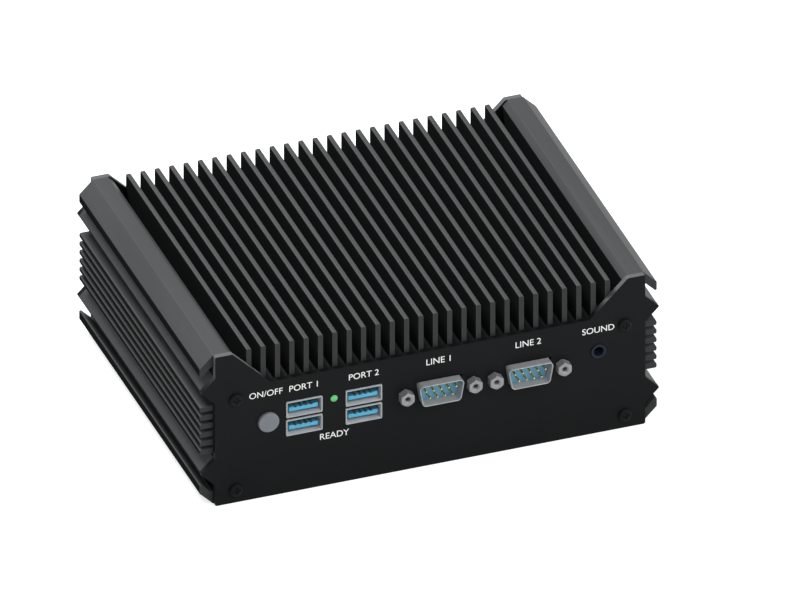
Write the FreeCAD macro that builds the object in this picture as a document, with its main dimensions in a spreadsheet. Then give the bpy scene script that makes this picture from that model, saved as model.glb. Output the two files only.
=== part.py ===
"""Fanless industrial computer: finned aluminium extrusion closed by two end plates and a bottom cover.

Frame: +Z up, +X to the right when facing the front, +Y from the front plate to the rear plate.
Origin: centre of the overall footprint, sockets and screw heads included, on the surface the
computer stands on. Sketches measure depth from the front face. Millimetres throughout.
Every size is a cell of the sheet; the objects are bound to the cells.
"""
import FreeCAD, Part
import os
from math import radians, tan

import Sketcher

# Driving dimensions, in millimetres, degrees or plain counts.
SIZES = {
    # casing
    "half_width": 79.1,
    "case_height": 60.5,
    "case_depth": 125.7,
    "plate_thickness": 2.0,
    "wall_thickness": 3.6,
    "edge_bevel": 0.3,
    # raised shoulders that run beside the fins
    "shoulder_width": 5.55,
    "shoulder_chamfer": 2.1,
    # hooked lips and teeth along both sides
    "lip_reach": 4.95,
    "lip_thickness": 4.0,
    "tooth_reach": 5.2,
    "tooth_offset": 16.5,
    # cooling fins on the top
    "fin_count": 26,
    "fin_margin": 5.5,
    "fin_thickness": 1.8,
    "fin_drop": 0.4,
    "fin_root_level": 45.4,
    "deck_thickness": 3.0,
    # cooling fins on the sides
    "rib_count": 6,
    "rib_pitch": 3.46,
    "rib_thickness": 1.9,
    "rib_reach": 4.9,
    "rib_bevel": 0.4,
    "fin_bevel": 0.25,
    # bottom cover and the ledges it screws to
    "cover_thickness": 2.0,
    "cover_inset": 5.1,
    "cover_clearance": 0.15,
    "ledge_inset": 16.1,
    "ledge_thickness": 4.5,
    "cover_screw_inset": 12.1,
    "cover_screw_margin": 14.0,
    # end plates
    "plate_shoulder": 6.4,
    "plate_rise": 1.0,
    "plate_foot_radius": 0.8,
    # end plate screws
    "plate_screw_inset": 7.6,
    "plate_screw_low": 5.3,
    "plate_screw_drop": 3.4,
    "plate_screw_radius": 1.25,
    "plate_screw_length": 8.0,
    "plate_head_radius": 2.4,
    "plate_head_height": 1.5,
    "boss_radius": 3.4,
    "boss_flat": 1.36,
    "screw_clearance": 0.03,
    "hole_clearance": 0.15,
    # mounting pattern in the bottom cover
    "mount_spacing": 75.0,
    "mount_hole_radius": 2.0,
    "nut_shank_radius": 2.9,
    "nut_flats": 7.5,
    "nut_height": 2.5,
    # mainboard, hung under the deck
    "standoff_height": 4.0,
    "standoff_width": 5.0,
    "board_thickness": 1.6,
    "board_side_gap": 13.1,
    "board_gap": 1.5,
    "board_screw_margin": 5.0,
    "board_screw_front": 24.0,
    "board_screw_rear": 24.0,
    "small_screw_radius": 1.25,
    "small_head_radius": 2.25,
    "small_head_height": 1.2,
    "deck_hole_depth": 2.4,
    "deck_screw_bite": 2.1,
    # processor and heat path
    "chip_half_width": 13.5,
    "chip_x": -8.0,
    "chip_y": 64.0,
    "substrate_thickness": 0.8,
    "die_half_width": 6.0,
    "die_thickness": 0.6,
    "pad_thickness": 0.5,
    "block_half_width": 26.0,
    "block_edge_margin": 1.5,
    # memory
    "memory_x": -24.0,
    "memory_y": 66.0,
    "memory_drop": 3.5,
    "memory_half_length": 33.8,
    "memory_width": 29.9,
    "memory_thickness": 1.0,
    "memory_insertion": 2.95,
    "memory_socket_wall": 1.65,
    "memory_socket_depth": 6.0,
    "memory_socket_height": 5.2,
    "memory_chip_count": 4,
    "memory_chip_pitch": 16.0,
    "memory_chip_width": 9.0,
    "memory_chip_length": 12.0,
    "memory_chip_height": 1.1,
    "memory_chip_gap": 8.0,
    "slot_clearance": 0.05,
    # storage card
    "storage_x": 31.0,
    "storage_y": 24.0,
    "storage_drop": 3.4,
    "storage_half_width": 11.0,
    "storage_edge_half_width": 10.0,
    "storage_edge_length": 5.0,
    "storage_length": 80.0,
    "storage_thickness": 0.8,
    "storage_insertion": 3.75,
    "storage_socket_wall": 0.85,
    "storage_socket_depth": 5.6,
    "storage_socket_height": 4.2,
    "storage_chip_count": 3,
    "storage_chip_pitch": 18.0,
    "storage_chip_start": 10.0,
    "storage_chip_half_width": 7.0,
    "storage_chip_length": 13.0,
    "storage_chip_height": 1.2,
    "storage_hole_radius": 1.7,
    "storage_hole_margin": 2.0,
    "storage_spacer_radius": 2.6,
    "storage_head_radius": 2.4,
    "storage_head_height": 1.0,
    "storage_screw_radius": 1.5,
    # clock cell
    "cell_x": -38.0,
    "cell_y": 38.0,
    "cell_radius": 10.0,
    "cell_thickness": 3.2,
    "cell_recess": 0.2,
    "cell_clearance": 0.1,
    "cell_wall": 1.6,
    "cell_holder_height": 4.6,
    # power supply of the board
    "supply_x": 50.0,
    "coil_side": 7.0,
    "coil_height": 4.5,
    "coil_y": 30.0,
    "coil_pitch": 10.0,
    "coil_count": 4,
    "capacitor_y": 74.0,
    "capacitor_radius": 3.15,
    "capacitor_height": 8.0,
    "capacitor_pitch": 9.0,
    "capacitor_count": 3,
    # power button
    "button_x": -59.5,
    "button_drop": 6.5,
    "button_radius": 3.8,
    "button_proud": 1.0,
    "button_bevel": 0.3,
    "button_clearance": 0.2,
    "button_stem_radius": 1.5,
    "button_travel": 0.8,
    "dome_height": 0.35,
    "dome_radius": 1.35,
    "dome_crown_radius": 0.68,
    "stem_engagement": 3.0,
    "collar_rim": 0.8,
    "collar_thickness": 1.0,
    "collar_gap": 0.3,
    "switch_front": 7.0,
    "switch_depth": 6.0,
    "switch_half_width": 4.0,
    "stem_fit": 0.06,
    # USB type double sockets
    "usb_left_x": -46.35,
    "usb_right_x": -24.45,
    "usb_half_width": 6.65,
    "usb_port_height": 6.3,
    "usb_web": 1.05,
    "usb_wall": 0.4,
    "usb_corner": 0.35,
    "usb_back_wall": 0.8,
    "usb_proud": 0.4,
    "usb_depth": 17.0,
    "usb_cavity_depth": 10.0,
    "tongue_half_width": 5.4,
    "tongue_level": 1.7,
    "tongue_thickness": 1.6,
    "tongue_recess": 0.6,
    "usb_contact_count": 4,
    "usb_contact_setback": 0.5,
    "usb_contact_pitch": 1.95,
    "usb_contact_width": 0.8,
    "usb_contact_thickness": 0.12,
    # nine-pin serial sockets
    "serial_left_x": 3.25,
    "serial_right_x": 36.0,
    "serial_drop": 6.6,
    "serial_half_width": 8.46,
    "serial_half_height": 4.18,
    "serial_slant": 10.0,
    "serial_corner": 1.6,
    "serial_shell_wall": 0.4,
    "serial_proud": 3.3,
    "serial_face": 0.8,
    "serial_flange_half_width": 15.4,
    "serial_flange_half_height": 6.2,
    "serial_flange_thickness": 1.0,
    "serial_insert_clearance": 0.02,
    "serial_body_half_width": 9.6,
    "serial_body_depth": 9.0,
    "pin_pitch": 2.77,
    "pin_row_gap": 2.84,
    "pin_radius": 0.35,
    "pin_length": 3.5,
    "jack_spacing": 24.99,
    "jack_flats": 4.76,
    "jack_height": 3.2,
    "jack_hole_radius": 1.1,
    "jack_hole_depth": 4.5,
    "jack_stud_reach": 4.0,
    "jack_stud_radius": 1.42,
    # sound socket
    "sound_x": 61.8,
    "sound_drop": 3.6,
    "sound_nose_radius": 2.8,
    "sound_bore_radius": 1.8,
    "sound_proud": 0.5,
    "sound_bore_depth": 12.0,
    "sound_half_width": 3.9,
    "sound_gap": 0.3,
    # status light
    "light_x": -35.3,
    "light_drop": 2.2,
    "light_radius": 1.3,
    "light_proud": 0.3,
    "light_length": 6.0,
    "light_bevel": 0.27,
    "light_clearance": 0.08,
    "light_holder_gap": 1.6,
    "light_holder_depth": 4.0,
    "light_holder_half_width": 2.1,
    # rear sockets
    "rear_power_x": 55.0,
    "rear_usb_x": 36.0,
    "lan_left_x": 16.0,
    "lan_right_x": -3.0,
    "display_x": -24.0,
    "lan_half_width": 8.0,
    "lan_height": 13.4,
    "lan_depth": 21.0,
    "lan_opening_half_width": 5.9,
    "lan_opening_height": 8.2,
    "lan_opening_depth": 14.0,
    "lan_opening_rise": 1.4,
    "lan_latch_half_width": 3.2,
    "lan_latch_rise": 1.6,
    "lan_latch_depth": 8.4,
    "lan_contact_count": 8,
    "lan_contact_pitch": 1.02,
    "lan_contact_width": 0.4,
    "lan_contact_start": 4.0,
    "lan_contact_rise": 1.9,
    "lan_contact_tip": 0.4,
    "lan_contact_shelf": 1.0,
    "lan_contact_clearance": 0.02,
    "power_bore_radius": 3.1,
    "power_bore_depth": 10.0,
    "power_pin_radius": 1.0,
    "power_pin_recess": 1.2,
    "power_pin_bevel": 0.4,
    "inlet_drop": 6.0,
    "inlet_half_width": 5.0,
    "inlet_depth": 12.0,
    "inlet_collar_wall": 0.9,
    "inlet_collar_recess": 0.2,
    "display_half_width": 7.5,
    "display_height": 5.6,
    "display_drop": 1.0,
    "display_bevel": 1.6,
    "display_wall": 0.45,
    "display_depth": 11.0,
    "display_mouth_depth": 9.0,
    "display_foot_gap": 1.0,
    "display_foot_depth": 7.0,
    "display_tongue_half_width": 5.6,
    "display_tongue_thickness": 1.2,
    "display_tongue_recess": 1.5,
}

OVERLAP = 1.0  # depth by which a fin or rib is rooted in the metal that carries it

document = FreeCAD.newDocument("fanless_computer")


class Size:
    """A length that knows its present value and the expression that keeps it tied to the sheet."""

    def __init__(self, value, text):
        self.value = float(value)
        self.text = text

    @staticmethod
    def of(item):
        return item if isinstance(item, Size) else Size(item, repr(float(item)))

    def __add__(self, other):
        other = Size.of(other)
        return Size(self.value + other.value, f"({self.text} + {other.text})")

    def __sub__(self, other):
        other = Size.of(other)
        return Size(self.value - other.value, f"({self.text} - {other.text})")

    def __mul__(self, other):
        other = Size.of(other)
        return Size(self.value * other.value, f"({self.text} * {other.text})")

    def __truediv__(self, other):
        other = Size.of(other)
        return Size(self.value / other.value, f"({self.text} / {other.text})")

    def __radd__(self, other):
        return Size.of(other) + self

    def __rsub__(self, other):
        return Size.of(other) - self

    def __rmul__(self, other):
        return Size.of(other) * self

    def __neg__(self):
        return Size(-self.value, f"(-{self.text})")


def tangent(angle):
    """The tangent of an angle that the sheet holds in degrees."""
    return Size(tan(radians(angle.value)), f"tan({angle.text} * 1 deg)")


class Sheet:
    """The spreadsheet of driving dimensions; each alias is read as an attribute."""

    def __init__(self, sizes):
        self.table = document.addObject("Spreadsheet::Sheet", "Sizes")
        for row, (alias, value) in enumerate(sizes.items(), start=1):
            self.table.set(f"A{row}", alias)
            self.table.set(f"B{row}", str(value))
            self.table.setAlias(f"B{row}", alias)
        document.recompute()

    def __getattr__(self, alias):
        return Size(self.table.get(alias), f"Sizes.{alias}")


S = Sheet(SIZES)

# Levels and depths that several parts share.
MIDDLE = S.case_height / 2
CEILING = S.fin_root_level - S.deck_thickness
BOARD_TOP = CEILING - S.standoff_height
BOARD_LOW = BOARD_TOP - S.board_thickness
INNER_DEPTH = S.case_depth - 2 * S.plate_thickness
ORIGIN_DEPTH = (S.case_depth + S.plate_head_height - S.serial_proud) / 2
REAR_INSIDE = S.case_depth - S.plate_thickness
FIN_ROW = 2 * (S.half_width - S.shoulder_width - S.shoulder_chamfer - S.fin_margin)
COVER_EDGE = S.half_width - S.cover_inset
LEDGE_EDGE = S.half_width - S.ledge_inset
PLATE_MIDDLE_HEIGHT = S.fin_root_level + S.plate_rise
PLATE_SCREW_X = S.half_width - S.plate_screw_inset
PLATE_SCREW_HIGH = S.fin_root_level - S.plate_screw_drop
BOARD_EDGE = S.half_width - S.board_side_gap
BUTTON_LEVEL = BOARD_LOW - S.button_drop
SERIAL_LEVEL = BOARD_LOW - S.serial_drop
SOUND_LEVEL = BOARD_LOW - S.sound_drop
LIGHT_LEVEL = BOARD_LOW - S.light_drop
SCREW_HOLE = S.plate_screw_radius + S.screw_clearance
SMALL_HOLE = S.small_screw_radius + S.screw_clearance
BOARD_FRONT = S.plate_thickness + S.board_gap
BOARD_REAR = REAR_INSIDE - S.board_gap
USB_STACK_HEIGHT = 2 * S.usb_port_height + S.usb_web
USB_LOW = BOARD_LOW - USB_STACK_HEIGHT
DIE_TOP = BOARD_TOP + S.substrate_thickness + S.die_thickness
BLOCK_LOW = DIE_TOP + S.pad_thickness
INLET_LEVEL = BOARD_LOW - S.inlet_drop
DISPLAY_TOP = BOARD_LOW - S.display_drop
DISPLAY_LOW = DISPLAY_TOP - S.display_height
SERIAL_BACK = S.plate_thickness + S.serial_flange_thickness
STORAGE_LEVEL = BOARD_LOW - S.storage_drop
STORAGE_START = S.storage_y + S.storage_socket_depth / 2 - S.storage_insertion
STORAGE_HOLE_Y = STORAGE_START + S.storage_length - S.storage_hole_margin

sub_parts = []


def bind(item, path, size):
    """Set a property and tie it to the sheet."""
    item.setExpression(path, Size.of(size).text)


def new_body(label, x=0.0, y=0.0, z=0.0, turned=False):
    """A body placed by its distance from the front face; turned faces it to the rear."""
    body = document.addObject("PartDesign::Body", label)
    body.Label = label
    rotation = FreeCAD.Rotation(FreeCAD.Vector(0, 0, 1), 180 if turned else 0)
    y = Size.of(y) - ORIGIN_DEPTH
    base = FreeCAD.Vector(Size.of(x).value, y.value, Size.of(z).value)
    body.Placement = FreeCAD.Placement(base, rotation)
    for path, size in (("x", x), ("y", y), ("z", z)):
        if isinstance(size, Size):
            bind(body, f"Placement.Base.{path}", size)
    sub_parts.append(body)
    return body


def origin_item(body, role):
    return [item for item in body.Origin.OriginFeatures if item.Role == role][0]


def new_sketch(body, plane, name, level=0.0, shift_x=0.0, shift_y=0.0):
    """A sketch parallel to an origin plane: level is Y on the XZ plane, Z on XY and X on YZ."""
    sketch = body.newObject("Sketcher::SketchObject", name)
    sketch.AttachmentSupport = [(origin_item(body, plane), "")]
    sketch.MapMode = "FlatFace"
    level = -Size.of(level) if plane == "XZ_Plane" else Size.of(level)
    for path, size in (("x", shift_x), ("y", shift_y), ("z", level)):
        bind(sketch, f"AttachmentOffset.Base.{path}", size)
    return sketch


def polygon(sketch, corners):
    """A closed outline whose corners sit at the given sizes."""
    corners = [(Size.of(x), Size.of(y)) for x, y in corners]
    points = [FreeCAD.Vector(x.value, y.value, 0) for x, y in corners]
    first = sketch.GeometryCount
    total = len(points)
    sketch.addGeometry([Part.LineSegment(points[i], points[(i + 1) % total]) for i in range(total)])
    joined = []
    placed = []
    for i, (x, y) in enumerate(corners):
        joined.append(Sketcher.Constraint("Coincident", first + i, 2, first + (i + 1) % total, 1))
        placed.append(Sketcher.Constraint("DistanceX", -1, 1, first + i, 1, x.value))
        placed.append(Sketcher.Constraint("DistanceY", -1, 1, first + i, 1, y.value))
    sketch.addConstraint(joined)
    start = sketch.ConstraintCount
    sketch.addConstraint(placed)
    for i, (x, y) in enumerate(corners):
        bind(sketch, f"Constraints[{start + 2 * i}]", x)
        bind(sketch, f"Constraints[{start + 2 * i + 1}]", y)


def rectangle(sketch, x_low, x_high, y_low, y_high):
    polygon(sketch, [(x_low, y_low), (x_high, y_low), (x_high, y_high), (x_low, y_high)])


def disc(sketch, x, y, radius):
    """A circle driven by its centre and radius."""
    x, y, radius = Size.of(x), Size.of(y), Size.of(radius)
    centre = FreeCAD.Vector(x.value, y.value, 0)
    index = sketch.addGeometry(Part.Circle(centre, FreeCAD.Vector(0, 0, 1), radius.value))
    start = sketch.ConstraintCount
    sketch.addConstraint([
        Sketcher.Constraint("DistanceX", -1, 1, index, 3, x.value),
        Sketcher.Constraint("DistanceY", -1, 1, index, 3, y.value),
        Sketcher.Constraint("Radius", index, radius.value),
    ])
    for offset, size in enumerate((x, y, radius)):
        bind(sketch, f"Constraints[{start + offset}]", size)


def hexagon(sketch, x, y, flats):
    """A hexagon with its flats to the left and right."""
    half = Size.of(flats) / 2
    side = half * tangent(Size(30, "30"))
    corners = [(-1, -1), (0, -2), (1, -1), (1, 1), (0, 2), (-1, 1)]
    polygon(sketch, [(Size.of(x) + half * i, Size.of(y) + side * j) for i, j in corners])


def pad(body, sketch, length, name):
    """Raise a sketch: along +Y from the XZ plane, +Z from XY and +X from YZ."""
    feature = body.newObject("PartDesign::Pad", name)
    feature.Profile = sketch
    bind(feature, "Length", length)
    feature.Reversed = sketch.AttachmentSupport[0][0].Role == "XZ_Plane"
    body.Tip = feature
    document.recompute()
    return feature


def pocket(body, sketch, length, name):
    """Cut a sketch away in the same sense as pad raises it, and make sure that it cuts."""
    before = body.Shape.Volume
    feature = body.newObject("PartDesign::Pocket", name)
    feature.Profile = sketch
    bind(feature, "Length", length)
    feature.Reversed = sketch.AttachmentSupport[0][0].Role != "XZ_Plane"
    body.Tip = feature
    document.recompute()
    if not body.Shape.Volume < before:
        raise RuntimeError(f"{name} cuts nothing")
    return feature


def revolve(body, sketch, name):
    """Turn a sketch once round its own vertical axis."""
    feature = body.newObject("PartDesign::Revolution", name)
    feature.Profile = sketch
    feature.ReferenceAxis = (sketch, ["V_Axis"])
    feature.Angle = 360
    body.Tip = feature
    document.recompute()
    return feature


def repeat(body, originals, axis, length, count, name, second=None):
    """Repeat features in a row along an origin axis, or in a grid where a second row is given."""
    feature = body.newObject("PartDesign::LinearPattern", name)
    feature.Originals = originals
    feature.Direction = (origin_item(body, axis), [""])
    bind(feature, "Length", length)
    bind(feature, "Occurrences", count)
    if second:
        axis_2, length_2, count_2 = second
        feature.Direction2 = (origin_item(body, axis_2), [""])
        bind(feature, "Length2", length_2)
        bind(feature, "Occurrences2", count_2)
    body.Tip = feature
    document.recompute()
    return feature


def edges_along(shape, axis, chosen):
    """Names of the straight edges parallel to an axis whose middle satisfies the test."""
    names = []
    for number, edge in enumerate(shape.Edges, start=1):
        if edge.Curve.TypeId != "Part::GeomLine":
            continue
        if abs(abs(edge.tangentAt(edge.FirstParameter).dot(axis)) - 1) > 1e-6:
            continue
        if chosen(edge.CenterOfMass):
            names.append(f"Edge{number}")
    return names


def round_edges(body, base, names, radius, label):
    feature = body.newObject("PartDesign::Fillet", label)
    feature.Base = (base, names)
    bind(feature, "Radius", radius)
    body.Tip = feature
    document.recompute()
    return feature


def bevel_edges(body, base, names, size, label):
    feature = body.newObject("PartDesign::Chamfer", label)
    feature.Base = (base, names)
    bind(feature, "Size", size)
    body.Tip = feature
    document.recompute()
    return feature


def rim_edges(shape, level):
    """Names of the round edges that lie flat at the given Y."""
    return [f"Edge{number}" for number, edge in enumerate(shape.Edges, start=1)
            if near(edge.BoundBox.YMax, level) and edge.BoundBox.YLength < 0.01]


def near(value, size, margin=0.02):
    return abs(value - Size.of(size).value) < margin


ALONG_X = FreeCAD.Vector(1, 0, 0)
ALONG_Y = FreeCAD.Vector(0, 1, 0)
ALONG_Z = FreeCAD.Vector(0, 0, 1)


# ---------------------------------------------------------------- casing

def mirrored_outline(right):
    """Close an outline given by its right half, from the top middle round to the bottom middle."""
    return right + [(-x, y) for x, y in reversed(right)]


def tooth(level):
    """Corners of one tooth on the right side, from top to bottom."""
    root = S.half_width
    return [
        (root, level + S.tooth_reach),
        (root + S.tooth_reach, level),
        (root, level - S.tooth_reach),
    ]


def chassis_outline():
    """Right half of the extrusion without its fins and ribs, from the deck's top to its ceiling."""
    wall_inside = S.half_width - S.wall_thickness
    shoulder_inside = S.half_width - S.shoulder_width
    lip = S.half_width + S.lip_reach
    upper = [
        (shoulder_inside - S.shoulder_chamfer, S.fin_root_level),
        (shoulder_inside - S.shoulder_chamfer, S.case_height - S.shoulder_chamfer),
        (shoulder_inside, S.case_height),
        (S.half_width, S.case_height),
        (lip, S.case_height - S.lip_reach),
        (lip, S.case_height - S.lip_reach - S.lip_thickness),
        (S.half_width, S.case_height - S.lip_thickness),
    ]
    lower = [
        (S.half_width, S.lip_thickness),
        (lip, S.lip_thickness + S.lip_reach),
        (lip, S.lip_reach),
        (S.half_width, Size.of(0)),
        (COVER_EDGE, Size.of(0)),
        (COVER_EDGE, S.cover_thickness),
        (LEDGE_EDGE, S.cover_thickness),
        (LEDGE_EDGE, S.cover_thickness + S.ledge_thickness),
    ]
    ledge_top = S.plate_screw_low + S.boss_radius
    inner = [
        (PLATE_SCREW_X - S.boss_flat, ledge_top),
        (wall_inside, ledge_top),
        (wall_inside, PLATE_SCREW_HIGH - S.boss_radius),
        (PLATE_SCREW_X - S.boss_flat, PLATE_SCREW_HIGH - S.boss_radius),
        (PLATE_SCREW_X - S.boss_radius, PLATE_SCREW_HIGH - S.boss_flat),
        (PLATE_SCREW_X - S.boss_radius, CEILING),
    ]
    teeth = tooth(MIDDLE + S.tooth_offset) + tooth(MIDDLE - S.tooth_offset)
    return upper + teeth + lower + inner


def make_chassis():
    """One aluminium extrusion: deck, side walls, shoulders, lips, teeth, fins, ribs, screw channels."""
    body = new_body("heatsink_chassis")
    sketch = new_sketch(body, "XZ_Plane", "chassis_profile", S.plate_thickness)
    polygon(sketch, mirrored_outline(chassis_outline()))
    pad(body, sketch, INNER_DEPTH, "chassis_walls")

    sketch = new_sketch(body, "XZ_Plane", "fin_profile", S.plate_thickness)
    first = -FIN_ROW / 2
    rectangle(sketch, first - S.fin_thickness / 2, first + S.fin_thickness / 2,
              S.fin_root_level - OVERLAP, S.case_height - S.fin_drop)
    fin = pad(body, sketch, INNER_DEPTH, "first_fin")
    repeat(body, [fin], "X_Axis", FIN_ROW, S.fin_count, "fins")

    rib_row = S.rib_pitch * (S.rib_count - 1)
    sketch = new_sketch(body, "XZ_Plane", "rib_profile", S.plate_thickness)
    low = MIDDLE - rib_row / 2
    tip = S.half_width + S.rib_reach
    for near_x, far_x in ((S.half_width - OVERLAP, tip), (-tip, OVERLAP - S.half_width)):
        rectangle(sketch, near_x, far_x, low - S.rib_thickness / 2, low + S.rib_thickness / 2)
    ribs = pad(body, sketch, INNER_DEPTH, "first_ribs")
    last = repeat(body, [ribs], "Z_Axis", rib_row, S.rib_count, "ribs")

    valley = (S.half_width - S.shoulder_width - S.shoulder_chamfer).value

    def fin_top(point):
        return abs(point.x) < valley - 0.1 and near(point.z, S.case_height - S.fin_drop)

    def rib_tip(point):
        return near(abs(point.x), tip) and abs(point.z - MIDDLE.value) < rib_row.value / 2 + 2

    def casing_corner(point):
        outer = abs(point.x) > S.half_width.value - 0.02
        shoulder = point.z > (S.case_height - S.shoulder_chamfer).value - 0.02
        return (outer or shoulder) and not fin_top(point) and not rib_tip(point)

    last = bevel_edges(body, last, edges_along(last.Shape, ALONG_Y, fin_top), S.fin_bevel, "fin_bevels")
    last = bevel_edges(body, last, edges_along(last.Shape, ALONG_Y, rib_tip), S.rib_bevel, "rib_bevels")
    names = edges_along(last.Shape, ALONG_Y, casing_corner)
    bevel_edges(body, last, names, S.edge_bevel, "casing_bevels")

    sketch = new_sketch(body, "XZ_Plane", "screw_channels", S.plate_thickness)
    for x in (PLATE_SCREW_X, -PLATE_SCREW_X):
        for z in (S.plate_screw_low, PLATE_SCREW_HIGH):
            disc(sketch, x, z, SCREW_HOLE)
    pocket(body, sketch, INNER_DEPTH, "channels")

    sketch = new_sketch(body, "XY_Plane", "deck_holes", CEILING)
    for x, y in board_screw_places() + block_screw_places():
        disc(sketch, x, y, SMALL_HOLE)
    pocket(body, sketch, S.deck_hole_depth, "blind_deck_holes")

    sketch = new_sketch(body, "XY_Plane", "ledge_holes", S.cover_thickness)
    for x, y in cover_screw_places():
        disc(sketch, x, y, SMALL_HOLE)
    pocket(body, sketch, S.ledge_thickness, "cover_screw_holes")


def cover_screw_places():
    rows = (S.cover_screw_margin, S.case_depth - S.cover_screw_margin)
    return [((S.half_width - S.cover_screw_inset) * side, y) for side in (1, -1) for y in rows]


def board_screw_places():
    rows = (S.board_screw_front, S.case_depth - S.board_screw_rear)
    return [((BOARD_EDGE - S.board_screw_margin) * side, y) for side in (1, -1) for y in rows]


def block_screw_places():
    reach = S.block_half_width - S.small_head_radius - S.block_edge_margin
    return [(S.chip_x + reach * i, S.chip_y + reach * j) for i in (-1, 1) for j in (-1, 1)]


def mount_places():
    half = S.mount_spacing / 2
    return [(half * i, ORIGIN_DEPTH + half * j) for i in (-1, 1) for j in (-1, 1)]


def make_cover():
    """Flat bottom cover, let into the underside, with countersunk screws and the mounting pattern."""
    body = new_body("bottom_cover")
    sketch = new_sketch(body, "XY_Plane", "cover_outline")
    edge = COVER_EDGE - S.cover_clearance
    front = S.plate_thickness + S.cover_clearance
    rectangle(sketch, -edge, edge, front, REAR_INSIDE - S.cover_clearance)
    pad(body, sketch, S.cover_thickness, "cover_sheet")
    sketch = new_sketch(body, "XY_Plane", "cover_holes")
    for x, y in cover_screw_places():
        disc(sketch, x, y, S.small_screw_radius + S.hole_clearance)
    for x, y in mount_places():
        disc(sketch, x, y, S.nut_shank_radius + S.screw_clearance)
    pocket(body, sketch, S.cover_thickness, "cover_drilling")
    sketch = new_sketch(body, "XY_Plane", "countersinks")
    for x, y in cover_screw_places():
        disc(sketch, x, y, S.small_head_radius + S.hole_clearance)
    sink = pocket(body, sketch, S.small_head_radius - S.small_screw_radius, "countersinking")
    sink.TaperAngle = -45


def end_plate_outline():
    """Right half of an end plate, from the middle of its top edge to the middle of its foot."""
    shoulder_inside = S.half_width - S.plate_shoulder
    drop = S.case_height - PLATE_MIDDLE_HEIGHT
    upper = [
        (shoulder_inside - drop, PLATE_MIDDLE_HEIGHT),
        (shoulder_inside, S.case_height),
        (S.half_width, S.case_height),
    ]
    teeth = tooth(MIDDLE + S.tooth_offset) + tooth(MIDDLE - S.tooth_offset)
    return upper + teeth + [(S.half_width, Size.of(0))]


def make_end_plate(label, turned):
    """A flat end plate with the extrusion's silhouette and its four screw holes."""
    body = new_body(label, 0.0, S.case_depth if turned else 0.0, 0.0, turned)
    sketch = new_sketch(body, "XZ_Plane", f"{label}_outline")
    polygon(sketch, mirrored_outline(end_plate_outline()))
    sheet = pad(body, sketch, S.plate_thickness, f"{label}_sheet")
    feet = edges_along(sheet.Shape, ALONG_Y, lambda point: near(point.z, 0))
    sheet = round_edges(body, sheet, feet, S.plate_foot_radius, f"{label}_foot_rounds")
    corners = edges_along(sheet.Shape, ALONG_Y, lambda point: point.z > S.plate_foot_radius.value + 0.1)
    bevel_edges(body, sheet, corners, S.edge_bevel, f"{label}_corner_bevels")
    sketch = new_sketch(body, "XZ_Plane", f"{label}_screw_holes")
    for x in (PLATE_SCREW_X, -PLATE_SCREW_X):
        for z in (S.plate_screw_low, PLATE_SCREW_HIGH):
            disc(sketch, x, z, S.plate_screw_radius + S.hole_clearance)
    pocket(body, sketch, S.plate_thickness, f"{label}_drilling")
    return body


def usb_port_levels():
    """Lower edges of the two ports of a stacked socket, low port first."""
    return (USB_LOW, USB_LOW + S.usb_port_height + S.usb_web)


def cut_usb_windows(sketch, x):
    for level in usb_port_levels():
        half = S.usb_half_width + S.hole_clearance
        rectangle(sketch, x - half, x + half, level - S.hole_clearance,
                  level + S.usb_port_height + S.hole_clearance)


def make_front_plate():
    body = make_end_plate("front_plate", False)
    sketch = new_sketch(body, "XZ_Plane", "front_openings")
    cut_usb_windows(sketch, S.usb_left_x)
    cut_usb_windows(sketch, S.usb_right_x)
    disc(sketch, S.button_x, BUTTON_LEVEL, S.button_radius + S.button_clearance)
    disc(sketch, S.light_x, LIGHT_LEVEL, S.light_radius + S.light_clearance)
    disc(sketch, S.sound_x, SOUND_LEVEL, S.sound_nose_radius + S.hole_clearance)
    for x in (S.serial_left_x, S.serial_right_x):
        polygon(sketch, serial_outline(S.hole_clearance, x))
        stud_discs(sketch, S.jack_stud_radius + S.hole_clearance, x)
    pocket(body, sketch, S.plate_thickness, "front_opening_cuts")


def make_rear_plate():
    body = make_end_plate("rear_plate", True)
    sketch = new_sketch(body, "XZ_Plane", "rear_openings")
    cut_usb_windows(sketch, -S.rear_usb_x)
    margin = S.hole_clearance
    for x in (S.lan_left_x, S.lan_right_x):
        half = S.lan_half_width + margin
        rectangle(sketch, -x - half, -x + half, BOARD_LOW - S.lan_height - margin, BOARD_LOW + margin)
    half = S.display_half_width + margin
    rectangle(sketch, -S.display_x - half, -S.display_x + half, DISPLAY_LOW - margin, DISPLAY_TOP + margin)
    disc(sketch, -S.rear_power_x, INLET_LEVEL, inlet_collar_radius() + margin)
    pocket(body, sketch, S.plate_thickness, "rear_opening_cuts")


# ---------------------------------------------------------------- fasteners

def make_plate_screws(label, turned):
    """Four cylinder head screws of one end plate, drawn once and repeated."""
    body = new_body(label, 0.0, S.case_depth if turned else 0.0, 0.0, turned)
    x, low = PLATE_SCREW_X, S.plate_screw_low
    sketch = new_sketch(body, "XZ_Plane", f"{label}_head_outline", -S.plate_head_height)
    disc(sketch, -x, low, S.plate_head_radius)
    head = pad(body, sketch, S.plate_head_height, f"{label}_head")
    sketch = new_sketch(body, "XZ_Plane", f"{label}_shank_outline")
    disc(sketch, -x, low, S.plate_screw_radius)
    shank = pad(body, sketch, S.plate_screw_length, f"{label}_shank")
    repeat(body, [head, shank], "X_Axis", 2 * x, Size.of(2), f"{label}_grid",
           ("Z_Axis", PLATE_SCREW_HIGH - low, Size.of(2)))


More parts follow.
